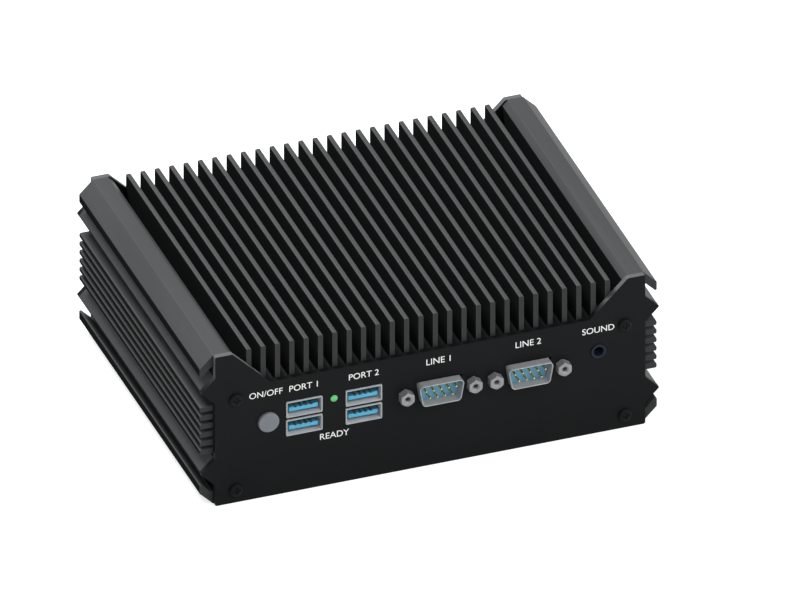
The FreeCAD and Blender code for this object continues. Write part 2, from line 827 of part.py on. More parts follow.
def screw_upwards(label, places, low, head_height, length, flush=False):
    """Small screws that go in from below: flat countersunk heads if flush, else cylinder heads."""
    body = new_body(label)
    low = Size.of(low)
    neck = low + head_height
    tip = low + length
    for number, (x, y) in enumerate(places):
        sketch = new_sketch(body, "XZ_Plane", f"{label}_profile_{number}", y, x)
        outline = [(0, low), (S.small_head_radius, low)]
        if not flush:
            outline.append((S.small_head_radius, neck))
        outline += [(S.small_screw_radius, neck), (S.small_screw_radius, tip), (0, tip)]
        polygon(sketch, outline)
        revolve(body, sketch, f"{label}_{number}")


def make_cover_screws():
    head = S.small_head_radius - S.small_screw_radius
    length = S.cover_thickness + S.ledge_thickness
    screw_upwards("bottom_cover_screws", cover_screw_places(), 0, head, length, flush=True)


def make_board_screws():
    """Screws that pass through the board and its spacers into the deck."""
    head = S.small_head_height
    length = head + CEILING - BOARD_LOW + S.deck_screw_bite
    screw_upwards("mainboard_screws", board_screw_places(), BOARD_LOW - head, head, length)


def make_block_screws():
    head = S.small_head_height
    length = head + CEILING - BLOCK_LOW + S.deck_screw_bite
    screw_upwards("heat_block_screws", block_screw_places(), BLOCK_LOW - head, head, length)


def make_standoffs():
    """Hexagonal spacers between the board and the deck, bored for the board's screws."""
    body = new_body("mainboard_standoffs")
    sketch = new_sketch(body, "XY_Plane", "standoff_sections", BOARD_TOP)
    for x, y in board_screw_places():
        hexagon(sketch, x, y, S.standoff_width)
        disc(sketch, x, y, SMALL_HOLE)
    pad(body, sketch, S.standoff_height, "standoff_columns")


def make_mount_nuts():
    """Four clinch nuts in the bottom cover: the threads that a wall, desk or rail bracket bolts to."""
    body = new_body("mounting_nuts")
    sketch = new_sketch(body, "XY_Plane", "nut_shank_sections")
    for x, y in mount_places():
        disc(sketch, x, y, S.nut_shank_radius)
    pad(body, sketch, S.cover_thickness, "nut_shanks")
    sketch = new_sketch(body, "XY_Plane", "nut_head_sections", S.cover_thickness)
    for x, y in mount_places():
        hexagon(sketch, x, y, S.nut_flats)
    pad(body, sketch, S.nut_height, "nut_heads")
    sketch = new_sketch(body, "XY_Plane", "nut_threads")
    for x, y in mount_places():
        disc(sketch, x, y, S.mount_hole_radius)
    pocket(body, sketch, S.cover_thickness + S.nut_height, "nut_bores")


# ---------------------------------------------------------------- mainboard and what it carries

def make_mainboard():
    """The circuit board, hung under the deck with its sockets facing down."""
    body = new_body("mainboard")
    sketch = new_sketch(body, "XY_Plane", "board_outline", BOARD_LOW)
    rectangle(sketch, -BOARD_EDGE, BOARD_EDGE, BOARD_FRONT, BOARD_REAR)
    pad(body, sketch, S.board_thickness, "board_sheet")
    sketch = new_sketch(body, "XY_Plane", "board_holes", BOARD_LOW)
    for x, y in board_screw_places():
        disc(sketch, x, y, S.small_screw_radius + S.hole_clearance)
    pocket(body, sketch, S.board_thickness, "board_drilling")


def make_slab(label, x_middle, y_middle, half_x, half_y, low, height):
    """A flat rectangular piece given by its middle, half widths and lower face."""
    body = new_body(label)
    sketch = new_sketch(body, "XY_Plane", f"{label}_outline", low)
    rectangle(sketch, x_middle - half_x, x_middle + half_x, y_middle - half_y, y_middle + half_y)
    pad(body, sketch, height, f"{label}_slab")
    return body


def make_heat_path():
    """Processor package, thermal pad and the block that carries its heat into the deck."""
    x, y = S.chip_x, S.chip_y
    package, die, block = S.chip_half_width, S.die_half_width, S.block_half_width
    body = make_slab("processor", x, y, package, package, BOARD_TOP, S.substrate_thickness)
    sketch = new_sketch(body, "XY_Plane", "die_outline", BOARD_TOP + S.substrate_thickness)
    rectangle(sketch, x - die, x + die, y - die, y + die)
    pad(body, sketch, S.die_thickness, "processor_die")
    make_slab("thermal_pad", x, y, die, die, DIE_TOP, S.pad_thickness)
    body = make_slab("heat_spreader_block", x, y, block, block, BLOCK_LOW, CEILING - BLOCK_LOW)
    sketch = new_sketch(body, "XY_Plane", "block_holes", BLOCK_LOW)
    for hole_x, hole_y in block_screw_places():
        disc(sketch, hole_x, hole_y, S.small_screw_radius + S.hole_clearance)
    pocket(body, sketch, CEILING - BLOCK_LOW, "block_drilling")


def make_memory():
    """Edge socket with the memory module lying parallel to the board."""
    x, mouth = S.memory_x, S.memory_y
    low = BOARD_LOW - S.memory_drop
    half_depth = S.memory_socket_depth / 2
    body = make_slab("memory_socket", x, mouth - half_depth, S.memory_half_length + S.memory_socket_wall,
                     half_depth, BOARD_LOW - S.memory_socket_height, S.memory_socket_height)
    sketch = new_sketch(body, "XY_Plane", "memory_slot_outline", low - S.slot_clearance)
    half = S.memory_half_length + S.slot_clearance
    rectangle(sketch, x - half, x + half, mouth - S.memory_insertion - S.slot_clearance, mouth + OVERLAP)
    pocket(body, sketch, S.memory_thickness + 2 * S.slot_clearance, "memory_slot")
    half_width = S.memory_width / 2
    body = make_slab("memory_module", x, mouth - S.memory_insertion + half_width, S.memory_half_length,
                     half_width, low, S.memory_thickness)
    sketch = new_sketch(body, "XY_Plane", "memory_chip_outline", low - S.memory_chip_height)
    row = S.memory_chip_pitch * (S.memory_chip_count - 1)
    left = x - (row + S.memory_chip_width) / 2
    near_edge = mouth + S.memory_chip_gap
    rectangle(sketch, left, left + S.memory_chip_width, near_edge, near_edge + S.memory_chip_length)
    chip = pad(body, sketch, S.memory_chip_height, "first_memory_chip")
    repeat(body, [chip], "X_Axis", row, S.memory_chip_count, "memory_chips")


def make_storage():
    """Solid-state drive card in its edge socket, held at the far end by a spacer and screw."""
    x = S.storage_x
    edge, side = S.storage_edge_half_width, S.storage_half_width
    mouth = S.storage_y + S.storage_socket_depth / 2
    half = edge + S.storage_socket_wall + S.slot_clearance
    height = S.storage_socket_height
    body = make_slab("storage_socket", x, S.storage_y, half, S.storage_socket_depth / 2,
                     BOARD_LOW - height, height)
    sketch = new_sketch(body, "XY_Plane", "storage_slot_outline", STORAGE_LEVEL - S.slot_clearance)
    half = edge + S.slot_clearance
    rectangle(sketch, x - half, x + half, STORAGE_START - S.slot_clearance, mouth + OVERLAP)
    pocket(body, sketch, S.storage_thickness + 2 * S.slot_clearance, "storage_slot")

    body = new_body("storage_card")
    sketch = new_sketch(body, "XY_Plane", "storage_card_outline", STORAGE_LEVEL)
    shoulder = STORAGE_START + S.storage_edge_length
    far_end = STORAGE_START + S.storage_length
    polygon(sketch, [(x - edge, STORAGE_START), (x + edge, STORAGE_START), (x + edge, shoulder),
                     (x + side, shoulder), (x + side, far_end), (x - side, far_end),
                     (x - side, shoulder), (x - edge, shoulder)])
    disc(sketch, x, STORAGE_HOLE_Y, S.storage_hole_radius)
    pad(body, sketch, S.storage_thickness, "storage_card_sheet")
    sketch = new_sketch(body, "XY_Plane", "storage_chip_outline", STORAGE_LEVEL - S.storage_chip_height)
    first = STORAGE_START + S.storage_chip_start
    half = S.storage_chip_half_width
    rectangle(sketch, x - half, x + half, first, first + S.storage_chip_length)
    chip = pad(body, sketch, S.storage_chip_height, "first_storage_chip")
    row = S.storage_chip_pitch * (S.storage_chip_count - 1)
    repeat(body, [chip], "Y_Axis", row, S.storage_chip_count, "storage_chips")


def make_spacer():
    """Round spacer over the far end of the drive card, with the screw that holds the card."""
    body = new_body("storage_spacer")
    sketch = new_sketch(body, "XY_Plane", "spacer_outline", STORAGE_LEVEL + S.storage_thickness)
    disc(sketch, S.storage_x, STORAGE_HOLE_Y, S.storage_spacer_radius)
    pad(body, sketch, S.storage_drop - S.storage_thickness, "spacer_column")
    body = new_body("storage_screw")
    sketch = new_sketch(body, "XY_Plane", "storage_screw_head", STORAGE_LEVEL - S.storage_head_height)
    disc(sketch, S.storage_x, STORAGE_HOLE_Y, S.storage_head_radius)
    pad(body, sketch, S.storage_head_height, "storage_screw_disc")
    sketch = new_sketch(body, "XY_Plane", "storage_screw_shank", STORAGE_LEVEL)
    disc(sketch, S.storage_x, STORAGE_HOLE_Y, S.storage_screw_radius)
    pad(body, sketch, S.storage_thickness, "storage_screw_shaft")


def make_clock_cell():
    """Coin cell that keeps the clock, in its cup-shaped holder."""
    rim = BOARD_LOW - S.cell_holder_height
    body = new_body("clock_cell_holder")
    sketch = new_sketch(body, "XY_Plane", "cell_holder_outline", rim)
    disc(sketch, S.cell_x, S.cell_y, S.cell_radius + S.cell_wall)
    pad(body, sketch, S.cell_holder_height, "cell_holder_cup")
    sketch = new_sketch(body, "XY_Plane", "cell_seat_outline", rim)
    disc(sketch, S.cell_x, S.cell_y, S.cell_radius + S.cell_clearance)
    pocket(body, sketch, S.cell_recess + S.cell_thickness, "cell_seat")
    body = new_body("clock_cell")
    sketch = new_sketch(body, "XY_Plane", "cell_outline", rim + S.cell_recess)
    disc(sketch, S.cell_x, S.cell_y, S.cell_radius)
    pad(body, sketch, S.cell_thickness, "cell_disc")


def make_power_parts():
    """Coils and capacitors of the board's power supply, each kind in a row."""
    side = S.coil_side
    body = new_body("supply_coils")
    sketch = new_sketch(body, "XY_Plane", "coil_outline", BOARD_LOW - S.coil_height)
    rectangle(sketch, S.supply_x, S.supply_x + side, S.coil_y, S.coil_y + side)
    coil = pad(body, sketch, S.coil_height, "first_coil")
    repeat(body, [coil], "Y_Axis", S.coil_pitch * (S.coil_count - 1), S.coil_count, "coil_row")
    body = new_body("supply_capacitors")
    sketch = new_sketch(body, "XY_Plane", "capacitor_outline", BOARD_LOW - S.capacitor_height)
    disc(sketch, S.supply_x + side / 2, S.capacitor_y, S.capacitor_radius)
    can = pad(body, sketch, S.capacitor_height, "first_capacitor")
    row = S.capacitor_pitch * (S.capacitor_count - 1)
    repeat(body, [can], "Y_Axis", row, S.capacitor_count, "capacitor_row")


# ---------------------------------------------------------------- power button

def make_button():
    """Push button cap with its collar and stem; it slides straight back into the switch."""
    body = new_body("power_button", S.button_x, 0.0, BUTTON_LEVEL)
    collar_front = S.plate_thickness + S.collar_gap
    rungs = (
        ("cap", S.button_radius, -S.button_proud, collar_front + S.button_proud),
        ("collar", S.button_radius + S.collar_rim, collar_front, S.collar_thickness),
        ("stem", S.button_stem_radius, collar_front + S.collar_thickness,
         S.switch_front + S.stem_engagement - collar_front - S.collar_thickness),
    )
    for name, radius, start, length in rungs:
        sketch = new_sketch(body, "XZ_Plane", f"button_{name}_outline", start)
        disc(sketch, 0, 0, radius)
        last = pad(body, sketch, length, f"button_{name}")
    bevel_edges(body, last, rim_edges(last.Shape, -S.button_proud), S.button_bevel, "button_rim")


def make_switch():
    """Switch housing hung from the board, bored for the stem, with its snap dome at the bottom."""
    body = new_body("power_switch_housing", S.button_x)
    half = S.switch_half_width
    sketch = new_sketch(body, "XZ_Plane", "switch_outline", S.switch_front)
    rectangle(sketch, -half, half, BUTTON_LEVEL - half, BOARD_LOW)
    pad(body, sketch, S.switch_depth, "switch_block")
    sketch = new_sketch(body, "XZ_Plane", "switch_bore_outline", S.switch_front)
    disc(sketch, 0, BUTTON_LEVEL, S.button_stem_radius + S.stem_fit)
    pocket(body, sketch, switch_bore_depth(), "switch_bore")
    body = new_body("power_switch_dome", S.button_x, 0.0, BUTTON_LEVEL)
    dome_base = S.switch_front + switch_bore_depth()
    sketch = new_sketch(body, "XY_Plane", "dome_section")
    crown = dome_base - S.dome_height
    polygon(sketch, [(0, crown), (S.dome_crown_radius, crown), (S.dome_radius, dome_base), (0, dome_base)])
    revolve(body, sketch, "dome")


def switch_bore_depth():
    """Depth of the stem's bore: the stem at rest, its travel, the dome and a little play."""
    return S.stem_engagement + S.button_travel + S.dome_height + S.stem_fit


# ---------------------------------------------------------------- front sockets

def usb_cavity_faces(sketch, level):
    """The inner rectangle of one port, whose shell stands on the given level."""
    inside = S.usb_half_width - S.usb_wall
    rectangle(sketch, -inside, inside, level + S.usb_wall, level + S.usb_port_height - S.usb_wall)


def make_usb_stack(suffix, x, turned=False):
    """Two sockets, one above the other: folded shell, insulator with tongues, contacts."""
    y = S.case_depth if turned else 0.0
    width = S.usb_half_width
    low, high = usb_port_levels()
    body = new_body(f"usb_shell_{suffix}", x, y, 0.0, turned)
    sketch = new_sketch(body, "XZ_Plane", f"usb_shell_outline_{suffix}", -S.usb_proud)
    rectangle(sketch, -width, width, USB_LOW, BOARD_LOW)
    pad(body, sketch, S.usb_depth, f"usb_shell_block_{suffix}")
    sketch = new_sketch(body, "XZ_Plane", f"usb_web_outline_{suffix}", -S.usb_proud)
    rectangle(sketch, -width, width, low + S.usb_port_height, high)
    slot_depth = S.usb_proud + S.plate_thickness + S.hole_clearance
    web = pocket(body, sketch, slot_depth, f"usb_web_slot_{suffix}")
    corners = edges_along(web.Shape, ALONG_Y, lambda point: near(abs(point.x), width))
    round_edges(body, web, corners, S.usb_corner, f"usb_shell_rounds_{suffix}")
    sketch = new_sketch(body, "XZ_Plane", f"usb_cavity_outline_{suffix}", -S.usb_proud)
    usb_cavity_faces(sketch, low)
    usb_cavity_faces(sketch, high)
    pocket(body, sketch, S.usb_cavity_depth, f"usb_cavities_{suffix}")

    body = new_body(f"usb_insulator_{suffix}", x, y, 0.0, turned)
    back = S.usb_cavity_depth - S.usb_proud
    half = S.tongue_half_width
    for level, name in ((low, "low"), (high, "high")):
        sketch = new_sketch(body, "XZ_Plane", f"usb_tongue_outline_{name}_{suffix}", S.tongue_recess)
        tongue_low = level + S.tongue_level
        rectangle(sketch, -half, half, tongue_low, tongue_low + S.tongue_thickness)
        pad(body, sketch, back - S.tongue_recess, f"usb_tongue_{name}_{suffix}")
        sketch = new_sketch(body, "XZ_Plane", f"usb_wall_outline_{name}_{suffix}", back - S.usb_back_wall)
        usb_cavity_faces(sketch, level)
        pad(body, sketch, S.usb_back_wall, f"usb_back_{name}_{suffix}")

    body = new_body(f"usb_contacts_{suffix}", x, y, 0.0, turned)
    row = S.usb_contact_pitch * (S.usb_contact_count - 1)
    start = S.tongue_recess + S.usb_contact_setback
    sketch = new_sketch(body, "XZ_Plane", f"usb_contact_outline_{suffix}", start)
    top = low + S.tongue_level + S.tongue_thickness
    rectangle(sketch, (-row - S.usb_contact_width) / 2, (S.usb_contact_width - row) / 2,
              top, top + S.usb_contact_thickness)
    strip = pad(body, sketch, back - S.usb_back_wall - start, f"usb_first_contact_{suffix}")
    repeat(body, [strip], "X_Axis", row, S.usb_contact_count, f"usb_contact_grid_{suffix}",
           ("Z_Axis", high - low, Size.of(2)))


def serial_outline(growth, x=0.0):
    """The D of a serial socket, wide side up, grown all round by the given amount."""
    lean = tangent(S.serial_slant)
    half_height = S.serial_half_height + growth
    widest = S.serial_half_width + growth
    narrow = widest - half_height * 2 * lean
    x = Size.of(x)
    return [
        (x + widest, SERIAL_LEVEL + half_height),
        (x - widest, SERIAL_LEVEL + half_height),
        (x - narrow, SERIAL_LEVEL - half_height),
        (x + narrow, SERIAL_LEVEL - half_height),
    ]


def stud_discs(sketch, radius, x=0.0):
    """The pair of circles where a serial socket's jackscrews pass."""
    for side in (-1, 1):
        disc(sketch, x + S.jack_spacing / 2 * side, SERIAL_LEVEL, radius)


def make_serial_shell(suffix, x):
    """Flanged shell of a nine-pin socket, with a D-shaped mouth."""
    body = new_body(f"serial_shell_{suffix}", x)
    sketch = new_sketch(body, "XZ_Plane", f"serial_flange_outline_{suffix}", S.plate_thickness)
    wide, tall = S.serial_flange_half_width, S.serial_flange_half_height
    rectangle(sketch, -wide, wide, SERIAL_LEVEL - tall, SERIAL_LEVEL + tall)
    pad(body, sketch, S.serial_flange_thickness, f"serial_flange_{suffix}")
    sketch = new_sketch(body, "XZ_Plane", f"serial_shell_outline_{suffix}", -S.serial_proud)
    polygon(sketch, serial_outline(0))
    pad(body, sketch, S.serial_proud + S.plate_thickness, f"serial_shell_tube_{suffix}")
    sketch = new_sketch(body, "XZ_Plane", f"serial_mouth_outline_{suffix}", -S.serial_proud)
    polygon(sketch, serial_outline(-S.serial_shell_wall))
    mouth = pocket(body, sketch, S.serial_proud + SERIAL_BACK, f"serial_mouth_{suffix}")
    middle = (SERIAL_BACK - S.serial_proud) / 2
    inner = edges_along(mouth.Shape, ALONG_Y, lambda point: near(point.y, middle, 0.05))
    inside_corner = S.serial_corner - S.serial_shell_wall
    inside = round_edges(body, mouth, inner, inside_corner, f"serial_mouth_rounds_{suffix}")
    outer = edges_along(inside.Shape, ALONG_Y, on_serial_corner)
    round_edges(body, inside, outer, S.serial_corner, f"serial_shell_rounds_{suffix}")
    sketch = new_sketch(body, "XZ_Plane", f"serial_stud_holes_{suffix}", S.plate_thickness)
    stud_discs(sketch, S.jack_stud_radius + S.screw_clearance)
    pocket(body, sketch, S.serial_flange_thickness, f"serial_stud_cuts_{suffix}")


def make_serial_insulator(suffix, x):
    """Insulator in the shell's mouth, with the block behind it that stands on the board."""
    body = new_body(f"serial_insulator_{suffix}", x)
    sketch = new_sketch(body, "XZ_Plane", f"serial_insert_outline_{suffix}", S.serial_face)
    polygon(sketch, serial_outline(-S.serial_shell_wall - S.serial_insert_clearance))
    insert = pad(body, sketch, SERIAL_BACK - S.serial_face, f"serial_insert_{suffix}")
    corners = edges_along(insert.Shape, ALONG_Y, lambda point: True)
    inside_corner = S.serial_corner - S.serial_shell_wall
    round_edges(body, insert, corners, inside_corner, f"serial_insert_rounds_{suffix}")
    sketch = new_sketch(body, "XZ_Plane", f"serial_block_outline_{suffix}", SERIAL_BACK)
    half = S.serial_body_half_width
    rectangle(sketch, -half, half, SERIAL_LEVEL - S.serial_flange_half_height, BOARD_LOW)
    pad(body, sketch, S.serial_body_depth, f"serial_block_{suffix}")


def make_serial_pins(suffix, x):
    """Nine round pins that stand on the insulator."""
    body = new_body(f"serial_pins_{suffix}", x)
    tips = S.serial_face - S.pin_length
    sketch = new_sketch(body, "XZ_Plane", f"serial_pin_outline_{suffix}", tips)
    for pin_x, pin_z in pin_places():
        disc(sketch, pin_x, pin_z, S.pin_radius)
    pad(body, sketch, S.pin_length, f"serial_pin_row_{suffix}")


def make_jackscrews(suffix, x):
    """The pair of hexagonal screws that clamp the shell to the plate and take a plug's own screws."""
    body = new_body(f"serial_jackscrews_{suffix}", x)
    sketch = new_sketch(body, "XZ_Plane", f"jackscrew_hexagon_{suffix}", -S.jack_height)
    for side in (-1, 1):
        hexagon(sketch, S.jack_spacing / 2 * side, SERIAL_LEVEL, S.jack_flats)
    pad(body, sketch, S.jack_height, f"jackscrew_heads_{suffix}")
    sketch = new_sketch(body, "XZ_Plane", f"jackscrew_stud_outline_{suffix}")
    stud_discs(sketch, S.jack_stud_radius)
    pad(body, sketch, SERIAL_BACK + S.jack_stud_reach, f"jackscrew_studs_{suffix}")
    sketch = new_sketch(body, "XZ_Plane", f"jackscrew_thread_outline_{suffix}", -S.jack_height)
    stud_discs(sketch, S.jack_hole_radius)
    pocket(body, sketch, S.jack_hole_depth, f"jackscrew_threads_{suffix}")


def make_serial_socket(suffix, x):
    """Nine-pin socket: shell, insulator, pins and the pair of hexagonal screws."""
    make_serial_shell(suffix, x)
    make_serial_insulator(suffix, x)
    make_serial_pins(suffix, x)
    make_jackscrews(suffix, x)


def on_serial_corner(point):
    """Whether a point lies on a corner line of the serial socket's D outline."""
    return any(near(point.x, x, 0.01) and near(point.z, z, 0.01) for x, z in serial_outline(0))


def pin_places():
    """Five pins above four, centred in the serial socket."""
    places = []
    for count, side in ((5, 1), (4, -1)):
        first = -S.pin_pitch * (count - 1) / 2
        level = SERIAL_LEVEL + S.pin_row_gap / 2 * side
        places += [(first + S.pin_pitch * number, level) for number in range(count)]
    return places


def make_sound_socket():
    """Sound socket: box body with a round nose through the plate and a plug bore."""
    body = new_body("sound_socket", S.sound_x)
    half = S.sound_half_width
    behind = S.plate_thickness + S.sound_gap
    sketch = new_sketch(body, "XZ_Plane", "sound_body_outline", behind)
    rectangle(sketch, -half, half, SOUND_LEVEL - half, BOARD_LOW)
    pad(body, sketch, S.sound_bore_depth, "sound_body")
    sketch = new_sketch(body, "XZ_Plane", "sound_nose_outline", -S.sound_proud)
    disc(sketch, 0, SOUND_LEVEL, S.sound_nose_radius)
    pad(body, sketch, S.sound_proud + behind, "sound_nose")
    sketch = new_sketch(body, "XZ_Plane", "sound_bore_outline", -S.sound_proud)
    disc(sketch, 0, SOUND_LEVEL, S.sound_bore_radius)
    pocket(body, sketch, S.sound_bore_depth, "sound_bore")


def make_status_light():
    """Round indicator lamp in a holder that hangs from the board."""
    body = new_body("status_light", S.light_x, 0.0, LIGHT_LEVEL)
    sketch = new_sketch(body, "XZ_Plane", "light_outline", -S.light_proud)
    disc(sketch, 0, 0, S.light_radius)
    lens = pad(body, sketch, S.light_length + S.light_proud, "light_lens")
    bevel_edges(body, lens, rim_edges(lens.Shape, -S.light_proud), S.light_bevel, "light_crown")
    body = new_body("status_light_holder", S.light_x)
    front = S.plate_thickness + S.light_holder_gap
    half = S.light_holder_half_width
    sketch = new_sketch(body, "XZ_Plane", "light_holder_outline", front)
    rectangle(sketch, -half, half, LIGHT_LEVEL - half, BOARD_LOW)
    pad(body, sketch, S.light_holder_depth, "light_holder_block")
    sketch = new_sketch(body, "XZ_Plane", "light_socket_outline", front)
    disc(sketch, 0, LIGHT_LEVEL, S.light_radius + S.screw_clearance)
    pocket(body, sketch, S.light_length - front, "light_socket")


# ---------------------------------------------------------------- rear sockets

def make_lan_socket(suffix, x):
    """Network socket: metal shell with a plug opening, and its spring contacts inside."""
    body = new_body(f"lan_socket_{suffix}", x, S.case_depth, 0.0, True)
    low = BOARD_LOW - S.lan_height
    sketch = new_sketch(body, "XZ_Plane", f"lan_shell_outline_{suffix}")
    rectangle(sketch, -S.lan_half_width, S.lan_half_width, low, BOARD_LOW)
    pad(body, sketch, S.lan_depth, f"lan_shell_{suffix}")
    floor = low + S.lan_opening_rise
    top = floor + S.lan_opening_height
    half = S.lan_opening_half_width
    sketch = new_sketch(body, "XZ_Plane", f"lan_opening_outline_{suffix}")
    rectangle(sketch, -half, half, floor, top)
    pocket(body, sketch, S.lan_opening_depth, f"lan_opening_{suffix}")
    half = S.lan_latch_half_width
    sketch = new_sketch(body, "XZ_Plane", f"lan_latch_outline_{suffix}")
    rectangle(sketch, -half, half, top - OVERLAP, top + S.lan_latch_rise)
    pocket(body, sketch, S.lan_latch_depth, f"lan_latch_slot_{suffix}")

    body = new_body(f"lan_contacts_{suffix}", x, S.case_depth, 0.0, True)
    row = S.lan_contact_pitch * (S.lan_contact_count - 1)
    width = S.lan_contact_width
    start = S.lan_contact_start
    end = S.lan_opening_depth - S.lan_contact_clearance
    crest = floor + S.lan_contact_rise
    sketch = new_sketch(body, "YZ_Plane", f"lan_contact_outline_{suffix}", -(row + width) / 2)
    polygon(sketch, [(start, floor), (end, floor), (end, crest), (end - S.lan_contact_shelf, crest),
                     (start, floor + S.lan_contact_tip)])
    strip = pad(body, sketch, width, f"lan_first_contact_{suffix}")
    repeat(body, [strip], "X_Axis", row, S.lan_contact_count, f"lan_contact_row_{suffix}")


def inlet_collar_radius():
    return S.power_bore_radius + S.inlet_collar_wall


def make_power_inlet():
    """Direct-current inlet: body with a round bore, and its centre pin."""
    body = new_body("power_inlet", S.rear_power_x, S.case_depth, 0.0, True)
    sketch = new_sketch(body, "XZ_Plane", "inlet_block_outline", S.plate_thickness)
    half = S.inlet_half_width
    rectangle(sketch, -half, half, INLET_LEVEL - half, BOARD_LOW)
    pad(body, sketch, S.inlet_depth, "inlet_block")
    sketch = new_sketch(body, "XZ_Plane", "inlet_collar_outline", S.inlet_collar_recess)
    disc(sketch, 0, INLET_LEVEL, inlet_collar_radius())
    pad(body, sketch, S.plate_thickness - S.inlet_collar_recess, "inlet_collar")
    sketch = new_sketch(body, "XZ_Plane", "inlet_bore_outline", S.inlet_collar_recess)
    disc(sketch, 0, INLET_LEVEL, S.power_bore_radius)
    pocket(body, sketch, S.power_bore_depth, "inlet_bore")
    body = new_body("power_inlet_pin", S.rear_power_x, S.case_depth, 0.0, True)
    sketch = new_sketch(body, "XZ_Plane", "inlet_pin_outline", S.power_pin_recess)
    disc(sketch, 0, INLET_LEVEL, S.power_pin_radius)
    length = S.inlet_collar_recess + S.power_bore_depth - S.power_pin_recess
    pin = pad(body, sketch, length, "inlet_pin")
    tip = rim_edges(pin.Shape, S.power_pin_recess)
    bevel_edges(body, pin, tip, S.power_pin_bevel, "inlet_pin_tip")


def display_outline(inset):
    """The screen socket's shell outline, moved inward by an inset."""
    half = S.display_half_width - inset
    foot = S.display_half_width - S.display_bevel - inset
    corner = DISPLAY_LOW + S.display_bevel
    return [(half, DISPLAY_TOP - inset), (-half, DISPLAY_TOP - inset), (-half, corner),
            (-foot, DISPLAY_LOW + inset), (foot, DISPLAY_LOW + inset), (half, corner)]


def make_display_socket():
    """Screen socket: shell with bevelled lower corners, and the tongue inside it."""
    body = new_body("display_socket", S.display_x, S.case_depth, 0.0, True)
    half = S.display_half_width
    sketch = new_sketch(body, "XZ_Plane", "display_shell_outline")
    polygon(sketch, display_outline(Size.of(0)))
    pad(body, sketch, S.display_depth, "display_shell")
    foot_front = S.plate_thickness + S.display_foot_gap
    sketch = new_sketch(body, "XZ_Plane", "display_foot_outline", foot_front)
    rectangle(sketch, -half, half, DISPLAY_TOP - S.display_wall, BOARD_LOW)
    pad(body, sketch, S.display_foot_depth, "display_foot")
    sketch = new_sketch(body, "XZ_Plane", "display_mouth_outline")
    polygon(sketch, display_outline(S.display_wall))
    pocket(body, sketch, S.display_mouth_depth, "display_mouth")
    body = new_body("display_tongue", S.display_x, S.case_depth, 0.0, True)
    half = S.display_tongue_half_width
    low = (DISPLAY_TOP + DISPLAY_LOW - S.display_tongue_thickness) / 2
    sketch = new_sketch(body, "XZ_Plane", "display_tongue_outline", S.display_tongue_recess)
    rectangle(sketch, -half, half, low, low + S.display_tongue_thickness)
    pad(body, sketch, S.display_mouth_depth - S.display_tongue_recess, "display_tongue_bar")


def build():
    """Make every sub-part in the order in which the computer is put together."""
    make_chassis()
    make_standoffs()
    make_heat_path()
    make_block_screws()
    make_mainboard()
    make_board_screws()
    make_memory()
    make_storage()
    make_spacer()
    make_clock_cell()
    make_power_parts()
    make_switch()
    make_button()
    make_usb_stack("left", S.usb_left_x)
    make_usb_stack("right", S.usb_right_x)
    make_serial_socket("left", S.serial_left_x)
    make_serial_socket("right", S.serial_right_x)
    make_sound_socket()
    make_status_light()
    make_usb_stack("rear", S.rear_usb_x, True)
    make_lan_socket("left", S.lan_left_x)
    make_lan_socket("right", S.lan_right_x)
    make_power_inlet()
    make_display_socket()
    make_front_plate()
    make_rear_plate()
    make_plate_screws("front_plate_screws", False)
    make_plate_screws("rear_plate_screws", True)
    make_cover()
    make_cover_screws()
    make_mount_nuts()


def check_and_write():
    """Stop on any failed feature or bad solid, then write one file for each sub-part."""
    document.recompute()
    for item in document.Objects:
        if {"Invalid", "Error"} & set(item.State):
            raise RuntimeError(f"{item.Label} failed: {item.State}")
    for body in sub_parts:
        if body.Shape.isNull() or not body.Shape.isValid():
            raise RuntimeError(f"{body.Label} has no valid shape")
    os.makedirs("parts", exist_ok=True)
    for body in sub_parts:
        body.Shape.exportStep(f"parts/{body.Label}.step")
        print(f"{body.Label}: {len(body.Shape.Solids)} solids, {body.Shape.Volume:.1f} mm3")
    print(f"{len(sub_parts)} sub-parts")


build()
check_and_write()
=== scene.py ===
"""Looks of a fanless industrial computer, built round its packed construction model.

The frame is the construction model's: +X to the right of the front, +Y to the rear and +Z up out of
the fins. Each sub-assembly is a class that places itself by the boxes of the construction nodes that
it dresses or replaces. A new piece is worked out in the coordinates of the face that it stands on,
which are right, up and outward, and then placed. Sizes of pieces are millimetres, and a mesh, a
finish, a lamp and the camera are in metres.
"""

import logging
import math
from dataclasses import dataclass
from enum import Enum
from typing import ClassVar, Dict, List, Optional, Sequence, Tuple, Union

import bpy
import numpy as np
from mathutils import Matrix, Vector
from mathutils.geometry import tessellate_polygon


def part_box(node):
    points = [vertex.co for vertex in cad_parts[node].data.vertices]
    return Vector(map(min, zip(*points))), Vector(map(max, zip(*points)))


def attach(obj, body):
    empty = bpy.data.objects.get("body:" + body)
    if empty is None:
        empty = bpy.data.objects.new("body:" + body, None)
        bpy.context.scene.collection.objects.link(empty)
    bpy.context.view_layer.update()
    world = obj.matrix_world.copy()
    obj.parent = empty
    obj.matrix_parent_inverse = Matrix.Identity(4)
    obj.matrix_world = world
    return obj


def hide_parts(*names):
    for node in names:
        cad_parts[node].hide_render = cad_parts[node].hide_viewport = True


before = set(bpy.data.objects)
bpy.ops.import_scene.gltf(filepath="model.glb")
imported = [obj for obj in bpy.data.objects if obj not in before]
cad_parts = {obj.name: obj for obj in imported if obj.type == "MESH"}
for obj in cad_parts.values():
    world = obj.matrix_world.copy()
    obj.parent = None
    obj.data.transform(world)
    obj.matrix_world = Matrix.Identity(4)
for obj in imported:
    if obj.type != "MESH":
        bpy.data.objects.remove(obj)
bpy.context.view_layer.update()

MM = 0.001
COMPUTER = "computer"
BUTTON = "button"
MERGE_DECIMALS = 8
WHITE = (1.0, 1.0, 1.0)

